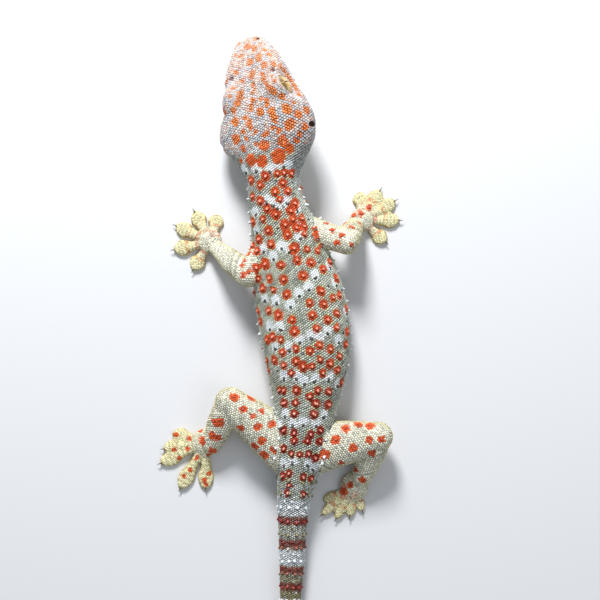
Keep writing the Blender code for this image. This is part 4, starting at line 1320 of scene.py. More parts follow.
def lid_scales(eye, chart):
    """Small scales all over the outer side of the lids."""
    axis = eye["axis"]
    middle = eye["centre"] + axis * LID_SEAT
    count = int(2 * math.pi * LID_OPENING / LID_SCALE_PITCH)
    places, tails, normals = [], [], []
    for row, degrees in enumerate((80, 120, 45, 148, 14)):
        tilt = math.radians(degrees)
        for k in range(count):
            spoke, reach, lift, thick = lid_section(eye, 2 * math.pi * (k + 0.5 * (row % 2)) / count)
            normal = spoke * math.cos(tilt) + axis * math.sin(tilt)
            place = middle + spoke * reach + axis * lift + normal * thick
            if all((place - other).length > 0.78 * LID_SCALE_PITCH for other in places):
                places.append(place)
                tails.append(spoke)
                normals.append(normal)
    made = head_scales(places, tails, LID_SCALE_PITCH, chart)
    made["normal"] = rows_of(normals)
    return made


def clear_of_orbits(scales):
    keep = np.ones(len(scales["place"]), bool)
    for eye in EYES:
        keep &= np.linalg.norm(scales["place"] - np.array(eye["centre"]), axis=1) > ORBIT_REACH
    return picked(scales, keep)


def belly_and_limb_rows():
    """The rows of scales of belly, limbs and toes, each part with a tile of its own on the unwrap."""
    rows = [scales_on(body_surface, BELLY_SPAN, BELLY_PITCH, BELLY, 0, -2.0, UNDER_LEVEL)]
    for number, limb in enumerate(LIMBS):
        parts = [limb_scales, limb_scales] + [toe_scales] * 5
        spans = [*segments_of(limb), *toes_of(limb)]
        for i, (part, span) in enumerate(zip(parts, spans)):
            rows.append(part(*span, LIMB_TILE + TILES_EACH * number + i))
    return rows


def make_scales(points, normals):
    """Every small scale of the animal, settled on the skin."""
    body = scales_on(body_surface, BODY_SPAN, body_pitch, HEAD, 0, UNDER_LEVEL)
    rear = np.where(body["behind"] < TAIL_START, BACK, TAIL)
    body["region"] = np.where(body["behind"] < NAPE - MILLIMETRE, HEAD, rear)
    body = clear_of_orbits(settled(body, SKIN_TREE, BODY_OFF))
    eyes = [settled(ring_scales(eye, 1 + i), SKIN_TREE, ORBIT_OFF) for i, eye in enumerate(EYES)]
    rims = rim_scales()
    total = joined([rims, apart_from(body, rims)])
    total = joined([total] + [apart_from(each, total) for each in eyes])
    for raw in belly_and_limb_rows():
        fresh = settled(raw, SKIN_TREE, LIMB_OFF)
        total = joined([total, apart_from(fresh, total)])
    keep = np.array([not in_opening(place, 1.0) for place in total["place"]])
    lids = joined([lid_scales(eye, 1 + i) for i, eye in enumerate(EYES)])
    total = joined([lids, apart_from(picked(total, keep), lids, 0.6)])
    total = fill_gaps(total, points, normals, 0.74, 0.90)
    return fill_gaps(total, points, normals, 0.60, 0.70)


def limb_scales(start, end, shape, chart):
    def surface(place, angle):
        return limb_surface(start, end, shape, place, angle)

    span = (-0.8 * shape[0][1], float(np.linalg.norm(end - start)) + 0.9 * shape[-1][1])
    return scales_on(surface, span, LIMB_PITCH, LIMB, chart)


def toe_scales(palm, heading, length, chart):
    def surface(place, angle):
        return toe_surface(palm, heading, length, place / length, angle)

    return scales_on(surface, (0.25 * length, 0.99 * length), TOE_PITCH, TOES, chart, -0.9)


def in_photo(view, x, y):
    """A place on an enlargement as pixels of the whole photograph."""
    left, top, larger = view
    return left + x / larger, top + y / larger


def behind_of(places):
    """How far behind the snout each place lies, along the midline."""
    tree = tree_of([(x, y, 0.0) for x, y in zip(MID_X, MID_Y)])
    return np.array([ALONG[tree.find((p[0], p[1], 0.0))[1]] for p in places])


def orange_of(behind):
    """The orange of a mark, brighter on the head and darker towards the tail."""
    stops = (0.0, 0.030, 0.055, 0.120, 0.150, 0.320)
    return graded(behind, stops, (HEAD_ORANGE, HEAD_ORANGE, BACK_ORANGE, BACK_ORANGE, RUMP_RED, RUMP_RED))


def ground_of(behind):
    """The ground colour of head, trunk and tail."""
    stops = (0.0, 0.012, 0.026, 0.040, 0.052, 0.075, 0.125, 0.165, 0.196, 0.216, 0.320)
    head = (SNOUT_GROUND, SNOUT_GROUND, HEAD_GROUND, HEAD_GROUND, NAPE_GROUND)
    rear = (RUMP_GROUND, TAIL_ROOT_GROUND, TAIL_GROUND, 0.6 * TAIL_GROUND)
    return graded(behind, stops, (*head, BACK_GROUND, BACK_GROUND, *rear))


def mark_set(places, radius, tone=None, limb=False):
    """Marks at those places of the skin, with what each is coloured and which way it is longest."""
    places = rows_of(places)
    behind = behind_of(places)
    count = len(places)
    return {
        "place": places,
        "along": body_frame(behind)[3] * (0.0 if limb else 1.0),
        "radius": np.broadcast_to(radius, (count,)).copy(),
        "tone": orange_of(behind) if tone is None else np.tile(tone, (count, 1)),
    }


def on_skin(view, spots):
    """Where spots read on an enlargement lie on the skin, and the way out of it there."""
    found = [photo_spot(SKIN_TREE, *in_photo(view, *spot[:2])) for spot in spots]
    return [spot for spot in found if spot[0] is not None]


def body_spot(behind, degrees):
    """The skin at a distance behind the snout and an angle round the body."""
    place, normal, _, _ = SKIN_TREE.find_nearest(Vector(body_surface(behind, math.radians(degrees))))
    return place, normal


def flank_spots():
    """Marks of the flanks, which the photograph doesn't show."""
    random = chance(4)
    spots = []
    for row, degrees in enumerate(FLANK_ANGLES):
        for behind in np.arange(FLANK_START + 0.5 * FLANK_STEP * (row % 2), FLANK_END, FLANK_STEP):
            shift, tilt = random.uniform(-1.0, 1.0, 2)
            spots.append(body_spot(behind + FLANK_UNEVEN * shift, degrees + 5.0 * tilt))
    return spots


def under_limbs():
    """Marks in rows on the sides of the limbs that the photograph doesn't show."""
    spots = []
    for start, end, shape in (segment for limb in LIMBS for segment in segments_of(limb)):
        length = float(np.linalg.norm(end - start))
        for row, degrees in enumerate((-20.0, 200.0)):
            first = UNDER_MARK_START + 0.5 * UNDER_MARK_PITCH * (row % 2)
            for place in np.arange(first, length, UNDER_MARK_PITCH):
                point = limb_surface(start, end, shape, place, math.radians(degrees))
                here, normal, _, away = SKIN_TREE.find_nearest(Vector(point))
                if away < UNDER_MARK_OFF:
                    spots.append((here, normal))
    return spots


def spaced(spots, others, least):
    """The spots that keep a least distance to the others and to each other."""
    kept = places_of(others)
    found = []
    for place, normal in spots:
        if all((place - other).length > least for other in kept):
            kept.append(place)
            found.append((place, normal))
    return found


def uneven(count, amount):
    """Factors about 1 for marks that aren't all of one size."""
    return chance(6).normal(1.0, amount, count).clip(0.75, 1.3)


def mark_sizes(spots):
    """Radii of the marks on the back, smaller towards the tail."""
    smaller = np.interp(behind_of(places_of(spots)), (0.110, 0.135), (1.0, 0.84))
    return MARK_RADIUS * uneven(len(spots), 0.10) * smaller


def head_marks():
    """The spots of the head, each with its own size, and the rows under the eyes."""
    found = [(photo_spot(SKIN_TREE, x, y), radius) for x, y, radius in HEAD_SPOTS]
    found = [(spot[0], radius * HEAD_SPOT_SCALE) for spot, radius in found if spot[0] is not None]
    rows = places_of(on_skin(PHOTO_VIEW, UNDER_EYE + UNDER_EYE_LEFT))
    return [mark_set(*zip(*found)), mark_set(rows, EYE_ROW_RADIUS)]


def make_marks():
    """All orange and white marks, with the tubercles that stand on them."""
    nape = on_skin(NAPE_VIEW, NAPE_ORANGE)
    trunk = spaced(on_skin(TRUNK_VIEW, TRUNK_ORANGE), nape, BACK_SPACE)
    backs = nape + trunk + on_skin(REAR_VIEW, REAR_ORANGE)
    backs = backs + spaced(on_skin(PHOTO_VIEW, EDGE_ORANGE), backs, EDGE_SPACE)
    flanks = spaced(flank_spots(), backs, FLANK_SPACE)
    legs = on_skin(REAR_VIEW, LEG_ORANGE)
    feet = on_skin(REAR_VIEW, FOOT_ORANGE)
    arms = on_skin(ARM_VIEW, ARM_ORANGE) + on_skin(LEFT_ARM_VIEW, LEFT_ARM_ORANGE)
    under = legs + spaced(under_limbs(), backs + legs + feet + arms, UNDER_SPACE)
    sides = on_skin(ARM_VIEW, FLANK_ORANGE)
    views = ((NAPE_VIEW, NAPE_WHITE), (TRUNK_VIEW, TRUNK_WHITE), (REAR_VIEW, REAR_WHITE))
    whites = [spot for view, spots in views for spot in on_skin(view, spots)]
    raised = backs + flanks
    limb_sizes = LIMB_MARK_RADIUS * uneven(len(under), 0.14)
    orange = head_marks() + [
        mark_set(places_of(raised), mark_sizes(raised)),
        mark_set(places_of(under), limb_sizes, LIMB_ORANGE, limb=True),
        mark_set(places_of(feet), FOOT_MARK_RADIUS, LIMB_ORANGE, limb=True),
        mark_set(places_of(arms + sides), ARM_MARK_RADIUS, LIMB_ORANGE, limb=True),
        # purple-brown painted shade in the hollow before each eye
        mark_set(places_of(on_skin(PHOTO_VIEW, EYE_RECESSES)), RECESS_RADIUS, RECESS_SHADE),
    ]
    return joined(orange), mark_set(places_of(whites), WHITE_RADIUS, WHITE), raised, whites, legs + arms


def nearest_mark(places, marks, jitter, block=4000):
    """For each place the signed distance to the outline of the nearest mark, and that mark."""
    edge = np.empty(len(places))
    which = np.empty(len(places), int)
    for first in range(0, len(places), block):
        part = slice(first, first + block)
        offset = places[part][:, None, :] - marks["place"][None]
        square = (offset**2).sum(-1)
        along = (offset * marks["along"][None]).sum(-1)
        away = np.sqrt(np.maximum(square - STRETCH * along**2, 0.0)) - marks["radius"][None]
        which[part] = away.argmin(1)
        edge[part] = away.min(1)
    return edge + jitter, which


def noise_at(places, fineness, shift=0.0):
    """Smooth noise from about -1 to 1 at each place."""
    return np.array([noise.noise(Vector(p) * fineness + Vector((shift, 0.0, 0.0))) for p in places])


def tail_distance(row):
    """How far behind the snout the tail crosses a row of the rear enlargement."""
    _, y = in_photo(REAR_VIEW, 0.0, row)
    reach = (CAMERA_REACH + BODY_LEVEL - TAIL_LEVEL) / CAMERA_REACH
    place = camera_place().y + (y - PHOTO_SIDE / 2) / PIXELS_PER_METRE * reach
    return float(np.interp(place, MID_Y, ALONG))


def tail_bands(rows):
    """Spans of the tail's rings seen in the photograph, repeated to the tip."""
    spans = [(tail_distance(top), tail_distance(bottom)) for top, bottom in rows]
    (first, _), (second, _) = TAIL_WHITE_ROWS
    period = tail_distance(second) - tail_distance(first)
    return spans + [(a + k * period, b + k * period) for k in range(1, 9) for a, b in spans[-2:]]


def within(behind, spans, soft):
    """How far inside any of the spans each distance lies, from 0 to 1."""
    share = np.zeros(len(behind))
    for start, end in spans:
        inside = np.minimum(behind - start, end - behind)
        share = np.maximum(share, np.clip(0.5 + inside / soft, 0.0, 1.0))
    return share


def mixed(colours, other, share):
    return colours + (other - colours) * share[:, None]


def clipped(share, most=1.0):
    return np.clip(share, 0.0, most)


def skin_ground(scales, behind):
    """The ground colours: grey, with pink and blue clouds on the head, yellowish on limbs and toes, and
    yellow-olive painted shade on the limbs' sides and undersides.
    """
    places, region = scales["place"], scales["region"]
    on_limb, on_toe = region == LIMB, region == TOES
    colours = np.where(on_limb[:, None], LIMB_GROUND, ground_of(behind))
    colours = np.where(on_toe[:, None], TOE_GROUND, colours)
    aside = clipped((0.75 - scales["normal"][:, 2]) / 0.75)
    # painted shade: limbs darker yellow-olive where they face away from the top
    colours = mixed(colours, LIMB_SHADED_SIDE, on_limb * aside * 0.75)
    colours = mixed(colours, TOE_SIDE, on_toe * aside * 0.85)
    palms = np.array([place_of(limb[6]) for limb in LIMBS])
    away = np.linalg.norm(places[:, None, :] - palms[None], axis=2).min(1)
    colours = mixed(colours, LIMB_GROUND, on_toe * clipped(1.0 - (away - PALM_REACH) / PALM_FADE))
    shaded = (region <= BACK) & (behind > HEAD_END)
    colours = mixed(colours, BACK_SHADE, np.where(shaded, clipped(0.7 * noise_at(places, 260.0), 0.45), 0.0))
    patch = noise_at(places, 420.0, 43.0)
    on_head = (region == HEAD) * np.interp(behind, (0.0, 0.040, 0.050), (1.0, 1.0, 0.0))
    colours = mixed(colours, HEAD_PINK, on_head * clipped(1.4 * patch, 0.50))
    return mixed(colours, HEAD_BLUE, on_head * clipped(-1.3 * patch, 0.50))


def tail_rings(colours, scales, behind, fine, random):
    """White and dark red rings of the tail, with single white beads between them."""
    on_tail = scales["region"] == TAIL
    wavy = behind + RING_WAVE * noise_at(scales["place"], 620.0, 31.0)
    pale = within(wavy, TAIL_WHITES, WHITE_RING_SOFT)
    colours = mixed(colours, WHITE * 0.80, np.where(on_tail, pale, 0.0))
    rings = np.where(on_tail, within(wavy, TAIL_REDS, RED_RING_SOFT), 0.0)
    colours = mixed(colours, TAIL_RED, rings * clipped(0.90 + 0.5 * fine))
    often = np.interp(behind, (0.170, 0.200, 0.240), (0.34, 0.24, 0.08))
    beaded = on_tail & (random.random(len(behind)) < often)
    return mixed(colours, WHITE * 0.80, 0.6 * beaded * (1.0 - rings))


def toe_bands(colours, scales, fine):
    """Fine cross folds on all toes, and orange bands on those whose marks the photograph hides."""
    toes = (scales["region"] == TOES).astype(float)
    # fine cross folds drawn as stripes of painted light and shade
    colours = colours * (1.0 + 0.24 * toes * np.sin(2 * math.pi * 8.0 * scales["u"]))[:, None]
    seen_foot = (scales["chart"] - LIMB_TILE) // TILES_EACH == SEEN_LIMB
    band = np.maximum(1 - np.abs(scales["u"] - 0.16) / 0.10, 1 - np.abs(scales["u"] - 0.52) / 0.09)
    band = clipped(1.5 * band) * clipped(0.5 + 2.0 * fine) * toes * ~seen_foot
    return mixed(colours, LIMB_ORANGE, 0.7 * band)


def paint_marks(colours, scales, behind, fine, marks, random):
    """White marks, flecks of the head and orange marks with their yellow rims."""
    places, region = scales["place"], scales["region"]
    orange, white = marks
    trunk = region <= BACK
    edge, _ = nearest_mark(places, white, WHITE_RAGGED * fine)
    white_share = clipped(0.5 - edge / WHITE_SOFT) * trunk * (behind < WHITES_END)
    colours = mixed(colours, WHITE, white_share)
    fleck = (noise_at(places, 1300.0, 21.0) > 0.30) & (region == HEAD) & (scales["normal"][:, 2] > 0.0)
    colours = mixed(colours, HEAD_FLECK, 0.55 * fleck)
    ragged = np.where(behind < 0.048, HEAD_RAGGED, BACK_RAGGED)
    ragged = np.where(region >= LIMB, LIMB_RAGGED, ragged)
    edge, which = nearest_mark(places, orange, ragged * fine)
    rim = clipped(1.0 - np.abs(edge - RIM_REACH) / RIM_WIDTH) * (trunk & (behind > HEAD_END))
    colours = mixed(colours, RIM_YELLOW, 0.55 * rim)
    inside = clipped(0.5 - edge / MARK_SOFT) * (region != BELLY)
    patchy = 1.0 + 0.25 * noise_at(places, 1500.0, 3.0) + 0.12 * random.standard_normal(len(places))
    tones = orange["tone"][which] * np.clip(patchy, 0.5, 1.5)[:, None]
    scales["marked"] = np.maximum(inside, white_share)
    return mixed(colours, tones, inside * np.interp(behind, (0.0, 0.020, 0.030), (0.72, 0.90, 1.0)))


def paint_scales(scales, *marks):
    """The colour of every small scale."""
    behind = behind_of(scales["place"])
    region = scales["region"]
    random = chance(0)
    fine = noise_at(scales["place"], 900.0, 7.0)
    colours = skin_ground(scales, behind)
    colours = tail_rings(colours, scales, behind, fine, random)
    colours = toe_bands(colours, scales, fine)
    colours = paint_marks(colours, scales, behind, fine, marks, random)
    below = clipped((-scales["normal"][:, 2] - 0.15) / 0.35) * (region != TOES)
    below = np.maximum(below, (region == BELLY) * 0.85)
    colours = mixed(colours, BELLY_GROUND, below * np.where(behind > 0.19, 0.35, 0.9))
    by_line = random.standard_normal(4096)[scales["line"] % 4096] * np.where(behind > 0.040, 0.12, 0.0)
    calm = (1.0 - 0.5 * scales["marked"]) * np.where(region == TOES, 0.5, 1.0)
    level = 1.0 + (0.14 * random.standard_normal(len(behind)) + by_line) * calm
    return clipped(colours * np.clip(level, 0.6, 1.35)[:, None])


def chart_place(scales):
    """Where each scale lies on an unwrap of the animal's skin: the body, then limbs, toes and orbits."""
    chart = scales["chart"]
    u = np.where(chart == 0, 0.01 + 0.98 * scales["behind"] / TAIL_TIP, 0.01 + 0.98 * scales["u"])
    v = 0.01 + 0.38 * scales["v"]
    tiles = [(1, 0.15, 0.06, 0.93, 0.06), (2, 0.25, 0.06, 0.93, 0.06)]
    for tile in range(LIMB_TILE, LIMB_TILE + TILES_EACH * len(LIMBS)):
        limb, piece = divmod(tile - LIMB_TILE, TILES_EACH)
        if piece < 2:
            tiles.append((tile, 0.02 + 0.24 * limb + 0.12 * piece, 0.10, 0.43, 0.16))
        else:
            tiles.append((tile, 0.02 + 0.19 * (piece - 2), 0.10, 0.62 + 0.075 * limb, 0.055))
    for tile, left, width, low, tall in tiles:
        u = np.where(chart == tile, left + width * scales["u"], u)
        v = np.where(chart == tile, low + tall * scales["v"], v)
    return np.stack([u, v], -1)


def cap_faces(rings, sides):
    """Triangles between the rings of a cap and up to its tip."""
    faces = []
    for here in range((rings - 1) * sides):
        beside = here - here % sides + (here + 1) % sides
        faces += [(here, beside, beside + sides), (here, beside + sides, here + sides)]
    first = (rings - 1) * sides
    faces += [(first + side, first + (side + 1) % sides, first + sides) for side in range(sides)]
    return np.array(faces)


def cap_turns(profile, sides):
    """Each point of a cap: how wide, how tall and how shaded it is, and its turn round the middle."""
    turns = (np.arange(sides) + 0.5) / sides * 2 * math.pi
    return [(*stop, turn) for stop in profile for turn in (turns if stop[0] > 0 else turns[:1])]


def caps(scales, sizes, colours, charts, shape, depth=1.0, drawn=0.0, pale=0.0, slant=0.0):
    """Points, faces, colours and chart places of one small cap on each place, drawn out along its slant; a
    ring's shade below one darkens it as painted shade and above one lightens it as a painted highlight, and
    pale mixes the tip towards a painted highlight.
    """
    radius, root, height = sizes
    profile, sides, lean = shape
    normal = scales["normal"]
    tail = unit(level_with(scales["tail"], normal))
    across = np.cross(tail, normal)
    row = (across * math.cos(slant) + tail * math.sin(slant)) * (radius * (1.0 + drawn))[:, None]
    beside = (tail * math.cos(slant) - across * math.sin(slant)) * (radius * (1.0 - drawn))[:, None]
    points, tints, spots = [], [], []
    for wide, tall, shade, turn in cap_turns(profile, sides):
        point = scales["place"] + row * (wide * math.cos(turn)) + beside * (wide * math.sin(turn))
        point = point + tail * (lean * max(tall, 0.0) * radius)[:, None]
        points.append(point + normal * (root + tall * height)[:, None])
        # painted shade towards the rim and painted highlight at the top, scaled by depth
        dark = np.broadcast_to(1.0 - (1.0 - shade) * np.asarray(depth), (len(colours),))
        tone = clipped(colours * dark[:, None])
        # pale mixes the tip towards a painted highlight
        tints.append(tone if wide > 0 else mixed(tone, BEAD_HIGHLIGHT, pale))
        spots.append(charts + CHART_SPREAD * np.array((wide * math.sin(turn), wide * math.cos(turn))))
    points = above_floor(np.stack(points, 1), CAP_FLOOR)
    return points, cap_faces(len(profile) - 1, sides), np.stack(tints, 1), np.stack(spots, 1)


def paint_points(mesh, tones):
    """Keeps a colour with each point of a mesh."""
    full = np.concatenate([tones, np.ones((len(tones), 1))], 1)
    mesh.color_attributes.new("paint", "FLOAT_COLOR", "POINT").data.foreach_set("color", full.reshape(-1))


def dressed(thing, material):
    """A piece of the object with smooth faces and its material, riding on the body."""
    thing.data.polygons.foreach_set("use_smooth", np.ones(len(thing.data.polygons), bool))
    thing.data.materials.clear()
    thing.data.materials.append(material)
    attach(thing, "root")
    return thing


def cap_mesh(name, points, faces, tints, spots):
    """One mesh object of many caps."""
    count, each = points.shape[:2]
    corners = (faces[None] + (np.arange(count) * each)[:, None, None]).reshape(-1)
    mesh = bpy.data.meshes.new(name)
    mesh.vertices.add(count * each)
    mesh.vertices.foreach_set("co", points.reshape(-1))
    mesh.loops.add(len(corners))
    mesh.loops.foreach_set("vertex_index", corners.astype(np.int32))
    mesh.polygons.add(len(corners) // 3)
    mesh.polygons.foreach_set("loop_start", np.arange(0, len(corners), 3, dtype=np.int32))
    mesh.update(calc_edges=True)
    paint_points(mesh, tints.reshape(-1, 3))
    chart = mesh.uv_layers.new(name="OFBake")
    chart.data.foreach_set("uv", spots.reshape(-1, 2)[corners].reshape(-1))
    thing = bpy.data.objects.new(name, mesh)
    bpy.context.scene.collection.objects.link(thing)
    return thing


def cap_pieces(name, made, material):
    """Splits the caps into as many mesh pieces as keep each under the limit of triangles."""
    points, faces, tints, spots = made
    per_piece = PIECE_TRIANGLES // len(faces)
    for number, first in enumerate(range(0, len(points), per_piece)):
        part = slice(first, first + per_piece)
        thing = cap_mesh(f"{name}_{number + 1}", points[part], faces, tints[part], spots[part])
        dressed(thing, material)


def paint_material(name, roughness, specular, clear=0.0):
    """A surface that shows the mesh's own colours with a fine grain."""
    build = Nodes(name)
    own = build.node("Attribute")
    own.attribute_name = "paint"
    grain = build.noise(build.node("TexCoord").outputs["Object"], 3500.0)
    level = build.ramp(grain, (0.0, 1.0), (0.86, 1.12), "LINEAR")
    tint = build.vector("SCALE", own.outputs["Color"], level)
    build.finish(tint, roughness, clear, 0.25)
    build.surface.inputs["Specular IOR Level"].default_value = specular
    return build.material


def tubercle_set(spots, kind, size, base, tip):
    """Tubercles on those spots, ready to be joined with others, each with a base colour and, as its tip
    colour, the colour of its painted highlight.
    """
    places = rows_of(places_of(spots))
    made = {
        "place": places,
        "normal": rows_of(normal for _, normal in spots),
        "tail": body_frame(behind_of(places))[3],
    }
    for key, value in zip(("radius", "height"), kind):
        made[key] = np.broadcast_to(value * size, (len(spots),)).copy()
    for key, value in {"base": base, "tip": tip}.items():
        made[key] = np.broadcast_to(value, (len(spots), 3)).copy()
    return made


def moved(spots, distance):
    """Spots shifted along the body and settled on the skin again."""
    places = rows_of(places_of(spots))
    shifted = places + body_frame(behind_of(places))[3] * distance
    return [SKIN_TREE.find_nearest(Vector(place))[:2] for place in shifted]


def whorl_spots():
    """Places of the tail's spiny rings, with the size of each tubercle."""
    random = chance(5)
    spots, sizes = [], []
    distance = WHORLS_START
    while distance < WHORLS_END:
        size = float(np.interp(distance, (0.17, 0.21, WHORLS_END), (0.95, 0.85, 0.45)))
        step = WHORL_STEP * (0.55 + 0.45 * size)
        for degrees in WHORL_ANGLES:
            shift, tilt = random.uniform(-1.0, 1.0, 2)
            spots.append(body_spot(distance + WHORL_UNEVEN * shift, degrees + 5.0 * tilt))
            sizes.append(size)
        for degrees in WHORL_BETWEEN:
            shift, tilt = random.uniform(-1.0, 1.0, 2)
            spots.append(body_spot(distance + (0.5 + 0.12 * shift) * step, degrees + 7.0 * tilt))
            sizes.append(0.62 * size)
        distance += step
    return spots, np.array(sizes)


def make_tubercles(raised, whites, limb_marks):
    """All tubercles: on orange marks, behind white marks, on limbs, flanks and tail; those behind white
    marks, and the roots of the small ones, are near black as painted shadow.
    """
    random = chance(1)
    base = orange_of(behind_of(places_of(raised)))
    size = 0.92 + 0.16 * random.random(len(raised))
    sets = [tubercle_set(raised, MARK_TUBERCLE, size, base * 0.85, HIGHLIGHT_PINK)]
    # near-black tubercles just behind the white marks: painted shadow
    dark = spaced(moved(whites, WHITE_SHIFT), raised, TUBERCLE_SPACE)
    sets.append(tubercle_set(dark, SHADE_TUBERCLE, 1.0, CAST_SHADOW_DARK, CAST_SHADOW_DARK * 2.0))
    limbs = spaced(limb_marks, raised, LIMB_TUBERCLE_SPACE)
    sets.append(tubercle_set(limbs, LIMB_TUBERCLE, 1.0, RUMP_RED, BACK_ORANGE * 1.2))
    edge = []
    for degrees in (3.0, 177.0):
        for behind in EDGE_STOPS:
            behind = behind + random.uniform(-EDGE_UNEVEN, EDGE_UNEVEN)
            edge.append(body_spot(behind, degrees + random.uniform(-9.0, 9.0)))
    edge = spaced(edge, raised + dark, TUBERCLE_SPACE)
    small = [body_spot(random.uniform(*SMALL_SPAN), random.uniform(12.0, 168.0)) for _ in range(260)]
    small = spaced(small, raised + dark + whites + edge, SMALL_TUBERCLE_SPACE)
    # small tubercles dark at the root as painted shadow
    sets.append(tubercle_set(small, SMALL_TUBERCLE, 1.0, CAST_SHADOW_DARK, WHITE * 0.7))
    size = random.uniform(0.75, 1.15, len(edge))
    sets.append(tubercle_set(edge, EDGE_TUBERCLE, size, WHITE * 0.8, WHITE * 1.1))
    return joined(sets + [whorls()])


def whorls():
    """The tail's tubercles, coloured like the ring that each stands on."""
    spots, sizes = whorl_spots()
    behind = behind_of(places_of(spots))
    pale = within(behind, TAIL_WHITES, WHORL_SOFT)[:, None]
    red = within(behind, TAIL_REDS, WHORL_SOFT)[:, None]
    base = TAIL_GROUND * 0.7 * (1 - pale) + WHITE * 0.8 * pale
    base = base * (1 - red) + TAIL_RED * red
    # the tip colour is that of their painted highlight
    tip = base * 1.7 * (1 - pale) + WHITE * pale
    return tubercle_set(spots, WHORL_TUBERCLE, sizes, base, tip)


def clear_of_tubercles(scales, tubercles):
    """The scales that no tubercle stands on."""
    return far_from(scales, tubercles["place"], lambda _, which: tubercles["radius"][which] * 0.80)


def tubercle_caps(tubercles, scales, charts):
    """Cap data of the tubercles: a painted highlight of the tip colour just ahead of the tip, painted shade
    at the root and painted shadow on the tailward side.
    """
    tree = tree_of(scales["place"])
    spots = np.array([charts[tree.find(place)[1]] for place in tubercles["place"]])
    sizes = (tubercles["radius"], -TUBERCLE_ROOT, tubercles["height"])
    shape = (TUBERCLE_PROFILE, TUBERCLE_SIDES, TUBERCLE_LEAN)
    made = caps(tubercles, sizes, tubercles["base"], spots, shape, pale=np.zeros(len(spots)))
    for number, (wide, _, shade, turn) in enumerate(cap_turns(TUBERCLE_PROFILE, TUBERCLE_SIDES)):
        rear = wide * math.sin(turn)
        side = wide * math.cos(turn)
        # painted highlight: a small spot just ahead of the tip
        share = clipped(1.30 - math.hypot(side / 0.28, (rear + 0.34) / 0.36))
        tone = tubercles["base"] * (1 - share) + tubercles["tip"] * share
        # painted shadow on the tailward side
        made[2][:, number] = clipped(tone * shade * (1.0 - 0.6 * clipped(1.3 * rear)))
    return made


def groove_shading(scales):
    """How strong the painted shade in the grooves is: faint on snout, limbs and marks, full on nape and
    back.
    """
    behind = behind_of(scales["place"])
    depth = np.interp(behind, (0.0, 0.012, 0.026, 0.042, 0.056), (0.24, 0.32, 0.52, 0.80, 1.0))
    depth = np.where(scales["region"] == LIMB, LIMB_GROOVES, depth)
    depth = np.where(scales["region"] == TOES, TOE_GROOVES, depth)
    on_head = (scales["region"] == HEAD) * scales["marked"]
    deep = 0.80 * on_head * np.interp(behind, (0.010, 0.020), (0.4, 1.0))
    return np.maximum(depth * (1.0 - 0.45 * scales["marked"]), deep)


def make_scale_pieces(scales, colours, charts, material):
    """Domes for the scales, rounder on the upper side of the body and head, which is seen most."""
    seen = (scales["normal"][:, 2] > 0.0) & (scales["region"] != BELLY)
    head = (scales["region"] == HEAD) & seen
    order = np.argsort(behind_of(scales["place"]), kind="stable")
    random = chance(3)
    groups = (
        ("head_scales", head, SCALE_PROFILE, 8),
        ("scales", seen & ~head, SCALE_PROFILE, 6),
        ("small_scales", ~seen, SMALL_PROFILE, 6),
    )
    for name, wanted, profile, sides in groups:
        chosen = order[wanted[order]]
        part = picked(scales, chosen)
        region, pitch = part["region"], part["pitch"]
        size = 1.0 + 0.08 * np.clip(random.standard_normal(len(chosen)), -1.6, 1.2)
        shift = random.uniform(-1.0, 1.0, (len(chosen), 3)) * (LOOSENESS[region] * pitch)[:, None]
        part["place"] = part["place"] + level_with(shift, part["normal"])
        part["tail"] = part["tail"] + 0.12 * random.standard_normal((len(chosen), 3))
        radius = 0.54 * pitch * size
        height = SCALE_HEIGHTS[region] * pitch * size + SKIN_INSET
        # painted highlight on the tops of the beads in the head's spots
        pale = 0.55 * part["marked"] * (region == HEAD)
        made = caps(
            part, (radius, -SKIN_INSET - ROOT_SINK, height), colours[chosen], charts[chosen],
            (profile, sides, SCALE_LEAN), groove_shading(part), DRAWN_OUT[region], pale, ROW_SLANT,
        )
        cap_pieces(name, made, material)


def cutter(name, points, faces):
    return outward(mesh_object(name, points, faces))


def mouth_cutter():
    """A thin plate along the mouth line, out past the skin on both sides."""
    forward = head_directions(0.0).col[0]
    rings = []
    for back in [-MOUTH_AHEAD, *np.linspace(0.0, MOUTH_CORNER, 16)]:
        there = max(back, 0.0)
        ahead = forward * min(back, 0.0)
        drop = float(mouth_drop(there))
        corners = ((-MOUTH_WIDE, -1), (MOUTH_WIDE, -1), (MOUTH_WIDE, 1), (-MOUTH_WIDE, 1))
        ring = [head_place(there, out, -drop + side * MOUTH_SLIT) + ahead for out, side in corners]
        rings.append([tuple(place) for place in ring])
    return cutter("mouth_cutter", *shell(np.array(rings)))


def cone_cutter(start, way, depth, near, far, sides=64):
    """A cone along a direction, which opens the lids down to the ball."""
    across = way.cross(Vector(UP)).normalized()
    over = across.cross(way)
    ends = ((0.0, near), (depth, far))
    rings = [ring_at(start + way * place, across, over, radius, sides) for place, radius in ends]
    return cutter("lid_cutter", *shell(np.array(rings)))


def cut_openings(skin):
    """Cuts mouth, ears, nostrils and eye openings into the skin."""
    cutters = [mouth_cutter()]
    for place, axes, half in PITS:
        cutters.append(cutter("pit_cutter", *ball(place, half, axes, 32, 20)))
    for eye in EYES:
        middle, axis = eye["centre"], eye["axis"]
        start = middle + axis * LID_CUT_START
        cutters.append(cone_cutter(start, axis, LID_CUT_DEPTH, LID_OPENING, LID_OPENING * 1.3))
        cutters.append(cutter("socket", *ball(middle, (EYE_RADIUS + SOCKET_GAP,) * 3, None, 64, 40)))
    for other in cutters:
        change = skin.modifiers.new("cut", "BOOLEAN")
        change.operation = "DIFFERENCE"
        change.solver = "MANIFOLD"
        change.object = other
    changed(skin)
    for other in cutters:
        bpy.data.objects.remove(other)


